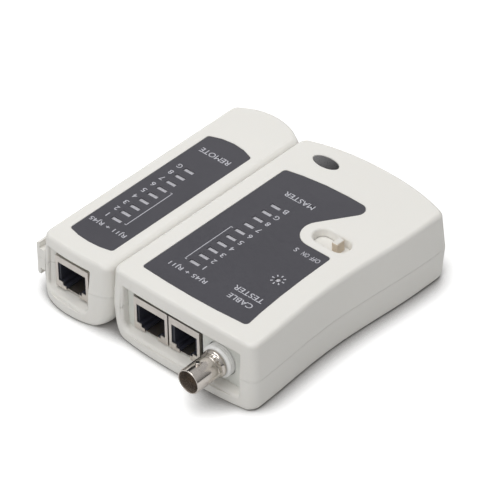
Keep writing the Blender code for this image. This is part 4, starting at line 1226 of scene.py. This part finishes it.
def build():
    case = abs_plastic("case_abs_looks", CASE_COLOUR)
    panel = abs_plastic("panel_abs_looks", (0.72, 0.73, 0.685, 1.0), rough=(0.45, 0.58))
    ink = label_ink("label_film_looks")
    white = print_ink("print_looks", rgb(196, 196, 203))
    lens = lamp_lens("lamp_epoxy_looks", rgb(196, 195, 201))
    shield = metal("jack_tin_looks", (0.72, 0.675, 0.63, 1), (0.26, 0.40), (1, 1, 6))
    # The barrel's mouth is painted a darker brown as painted shade.
    nickel = metal(
        "barrel_nickel_looks", (0.74, 0.69, 0.64, 1), (0.06, 0.13), (0.4, 3, 3), 0.004,
        dull=(0.6, 0.68), bore_shade=(0.38, 0.325, 0.28, 1),
    )
    gold = metal("contact_gold_looks", (0.80, 0.58, 0.26, 1), (0.16, 0.28))
    steel = metal("screw_steel_looks", (0.50, 0.50, 0.51, 1), (0.24, 0.4))
    nylon = moulded("jack_nylon_looks", (0.034, 0.036, 0.052, 1))
    resin = moulded("chip_resin_looks", (0.02, 0.02, 0.023, 1))
    collar = moulded("collar_looks", (0.97, 0.965, 0.95, 1), (0.35, 0.5), 0.008, 0.1)
    ptfe = moulded("insulator_looks", (0.62, 0.55, 0.46, 1))
    vinyl = moulded("snap_vinyl_looks", (0.015, 0.015, 0.016, 1), (0.45, 0.6))
    red = moulded("lead_red_looks", (0.5, 0.02, 0.015, 1), (0.35, 0.45))
    board = laminate("board_laminate_looks")
    jacket = battery_jacket("battery_jacket_looks")
    knob = knob_plastic("knob_looks", CASE_COLOUR, (0.69, 0.585, 0.46, 1.0))
    badge = badge_film("badge_looks")

    make_main_top(case)
    make_main_bottom(case)
    make_door(case)
    make_remote_top(case)
    make_remote_bottom(case)
    make_fascia(panel)
    make_main_label(ink, white)
    make_remote_label(ink, white)
    make_badge(badge)
    make_bnc(collar, nickel, ptfe, gold)
    make_power_lamp(lens)

    looks = {
        "main_board": (board, 0), "remote_board": (board, 0),
        "sequencer_chip": (resin, 0.08), "timer_chip": (resin, 0.08),
        "battery_9v": (jacket, 0), "battery_snap": (vinyl, 0),
        "battery_lead_red": (red, 0), "battery_lead_black": (vinyl, 0),
        "power_switch_can": (steel, 0), "power_switch_slider": (vinyl, 0.1),
        "power_switch_knob": (knob, 0.12),
    }
    for jack in ("main_rj45", "main_rj11", "remote_rj45"):
        looks[f"{jack}_shield"] = (shield, 0.12)
        looks[f"{jack}_housing"] = (nylon, 0.1)
        looks[f"{jack}_contacts"] = (gold, 0)
    for node in NODES:
        if "_led_" in node:
            looks[node] = (lens, 0.1)
        if "_screw_" in node:
            looks[node] = (steel, 0.15)
    for node, (material, width) in looks.items():
        obj = NODES[node]
        if width:
            softened(obj, width, 2, 50)
        dressed(obj, material, weighted=bool(width))


# Stage, light and camera


def make_stage():
    mesh = bpy.data.meshes.new("floor")
    reach = 6.0
    mesh.from_pydata(
        [(-reach, -reach, 0), (reach, -reach, 0), (reach, reach, 0), (-reach, reach, 0)],
        [], [(0, 1, 2, 3)],
    )
    floor = linked("floor", mesh)
    g = Graph("floor_paper")
    seen = g.node("ShaderNodeLightPath").outputs["Is Camera Ray"]
    paper = g.mix(g.span(g.noise(0.01, 2.0), 0.0, 1.0), (0.78, 0.78, 0.78, 1), (0.76, 0.76, 0.76, 1))
    # The camera sees a nearly burnt-out table with a painted contact shadow: ambient occlusion
    # darkens it only right under and beside the tester, and dims its glow there too.
    near = g.fill(g.node("ShaderNodeAmbientOcclusion", samples=12), Distance=14.0 * MM)
    clear_of_painted_shadow = g.span(near.outputs["AO"], 0.0, 1.0, 0.42, 0.8)
    bright = g.mix(clear_of_painted_shadow, (0.34, 0.33, 0.325, 1), (0.995, 0.995, 0.995, 1))
    g.set(Base_Color=g.mix(seen, paper, bright), Roughness=0.9)
    glow = g.times(g.times(seen, clear_of_painted_shadow), 0.26)
    g.set(Emission_Color=(1, 1, 1, 1), Emission_Strength=glow)
    g.set(Specular_IOR_Level=0.0)
    mesh.materials.append(g.material)


def area_light(name, place, target, size, power, colour=(1, 1, 1)):
    light = bpy.data.lights.new(name, "AREA")
    light.shape = "RECTANGLE"
    light.size, light.size_y = size
    light.energy = power
    light.color = colour
    obj = linked(name, light)
    obj.location = place
    obj.rotation_euler = (Vector(target) - Vector(place)).to_track_quat("-Z", "Y").to_euler()


def make_light():
    area_light("overhead_box", (-0.12, -0.05, 1.1), (0, 0, 0), (0.9, 0.9), 6.4)
    area_light("front_box", (0.1, -1.0, 0.75), (0, 0, 0), (0.8, 0.8), 3.0)
    area_light("rear_card", (-0.5, 0.75, 0.33), (0, 0, 0.03), (0.9, 0.34), 1.6)
    world = bpy.data.worlds.new("studio")
    bpy.context.scene.world = world
    g = Graph("studio", world)
    ramp = g.fill(g.node("ShaderNodeValToRGB"), g.axis("Z"))
    stops = ramp.color_ramp.elements
    stops[0].position, stops[0].color = 0.04, (0.12, 0.12, 0.12, 1)
    stops[1].position, stops[1].color = 0.6, (0.95, 0.95, 0.95, 1)
    middle = stops.new(0.22)
    middle.color = (0.55, 0.55, 0.55, 1)
    # A dark patch of studio that the barrel and the labels mirror
    toward = g.dot(g.place, Vector((-0.66, 0.57, 0.49)).normalized())
    patch = g.span(toward, 1.0, 0.08, 0.9, 0.96)
    g.set(Color=g.mix(patch, (0, 0, 0, 1), ramp.outputs["Color"]), Strength=0.51)


LOOKED_AT, CAMERA_DISTANCE = (20.0, 50.0, 13.0), 1.495
CAMERA_ANGLES = (43.18, 38.76, -1.06)  # azimuth, elevation and roll in degrees
LENS, LENS_SHIFT = 314.8125, (-0.0217292, 0.0423542)


def make_camera():
    azimuth, elevation, roll = (math.radians(a) for a in CAMERA_ANGLES)
    back = Vector((
        math.sin(azimuth) * math.cos(elevation),
        -math.cos(azimuth) * math.cos(elevation),
        math.sin(elevation),
    ))
    right = Vector((math.cos(azimuth), math.sin(azimuth), 0.0))
    up = back.cross(right)
    turned_right = right * math.cos(roll) + up * math.sin(roll)
    turned_up = up * math.cos(roll) - right * math.sin(roll)
    camera = linked("camera", bpy.data.cameras.new("camera"))
    data = camera.data
    data.sensor_width = 36.0
    data.lens = LENS
    data.shift_x, data.shift_y = LENS_SHIFT
    data.clip_start, data.clip_end = 0.05, 30.0
    place = spot(LOOKED_AT) + back * CAMERA_DISTANCE
    axes = Matrix((turned_right, turned_up, back)).transposed().to_4x4()
    camera.matrix_world = Matrix.Translation(place) @ axes
    bpy.context.scene.camera = camera
    bpy.context.scene.view_settings.view_transform = "Standard"


build()
make_stage()
make_light()
make_camera()
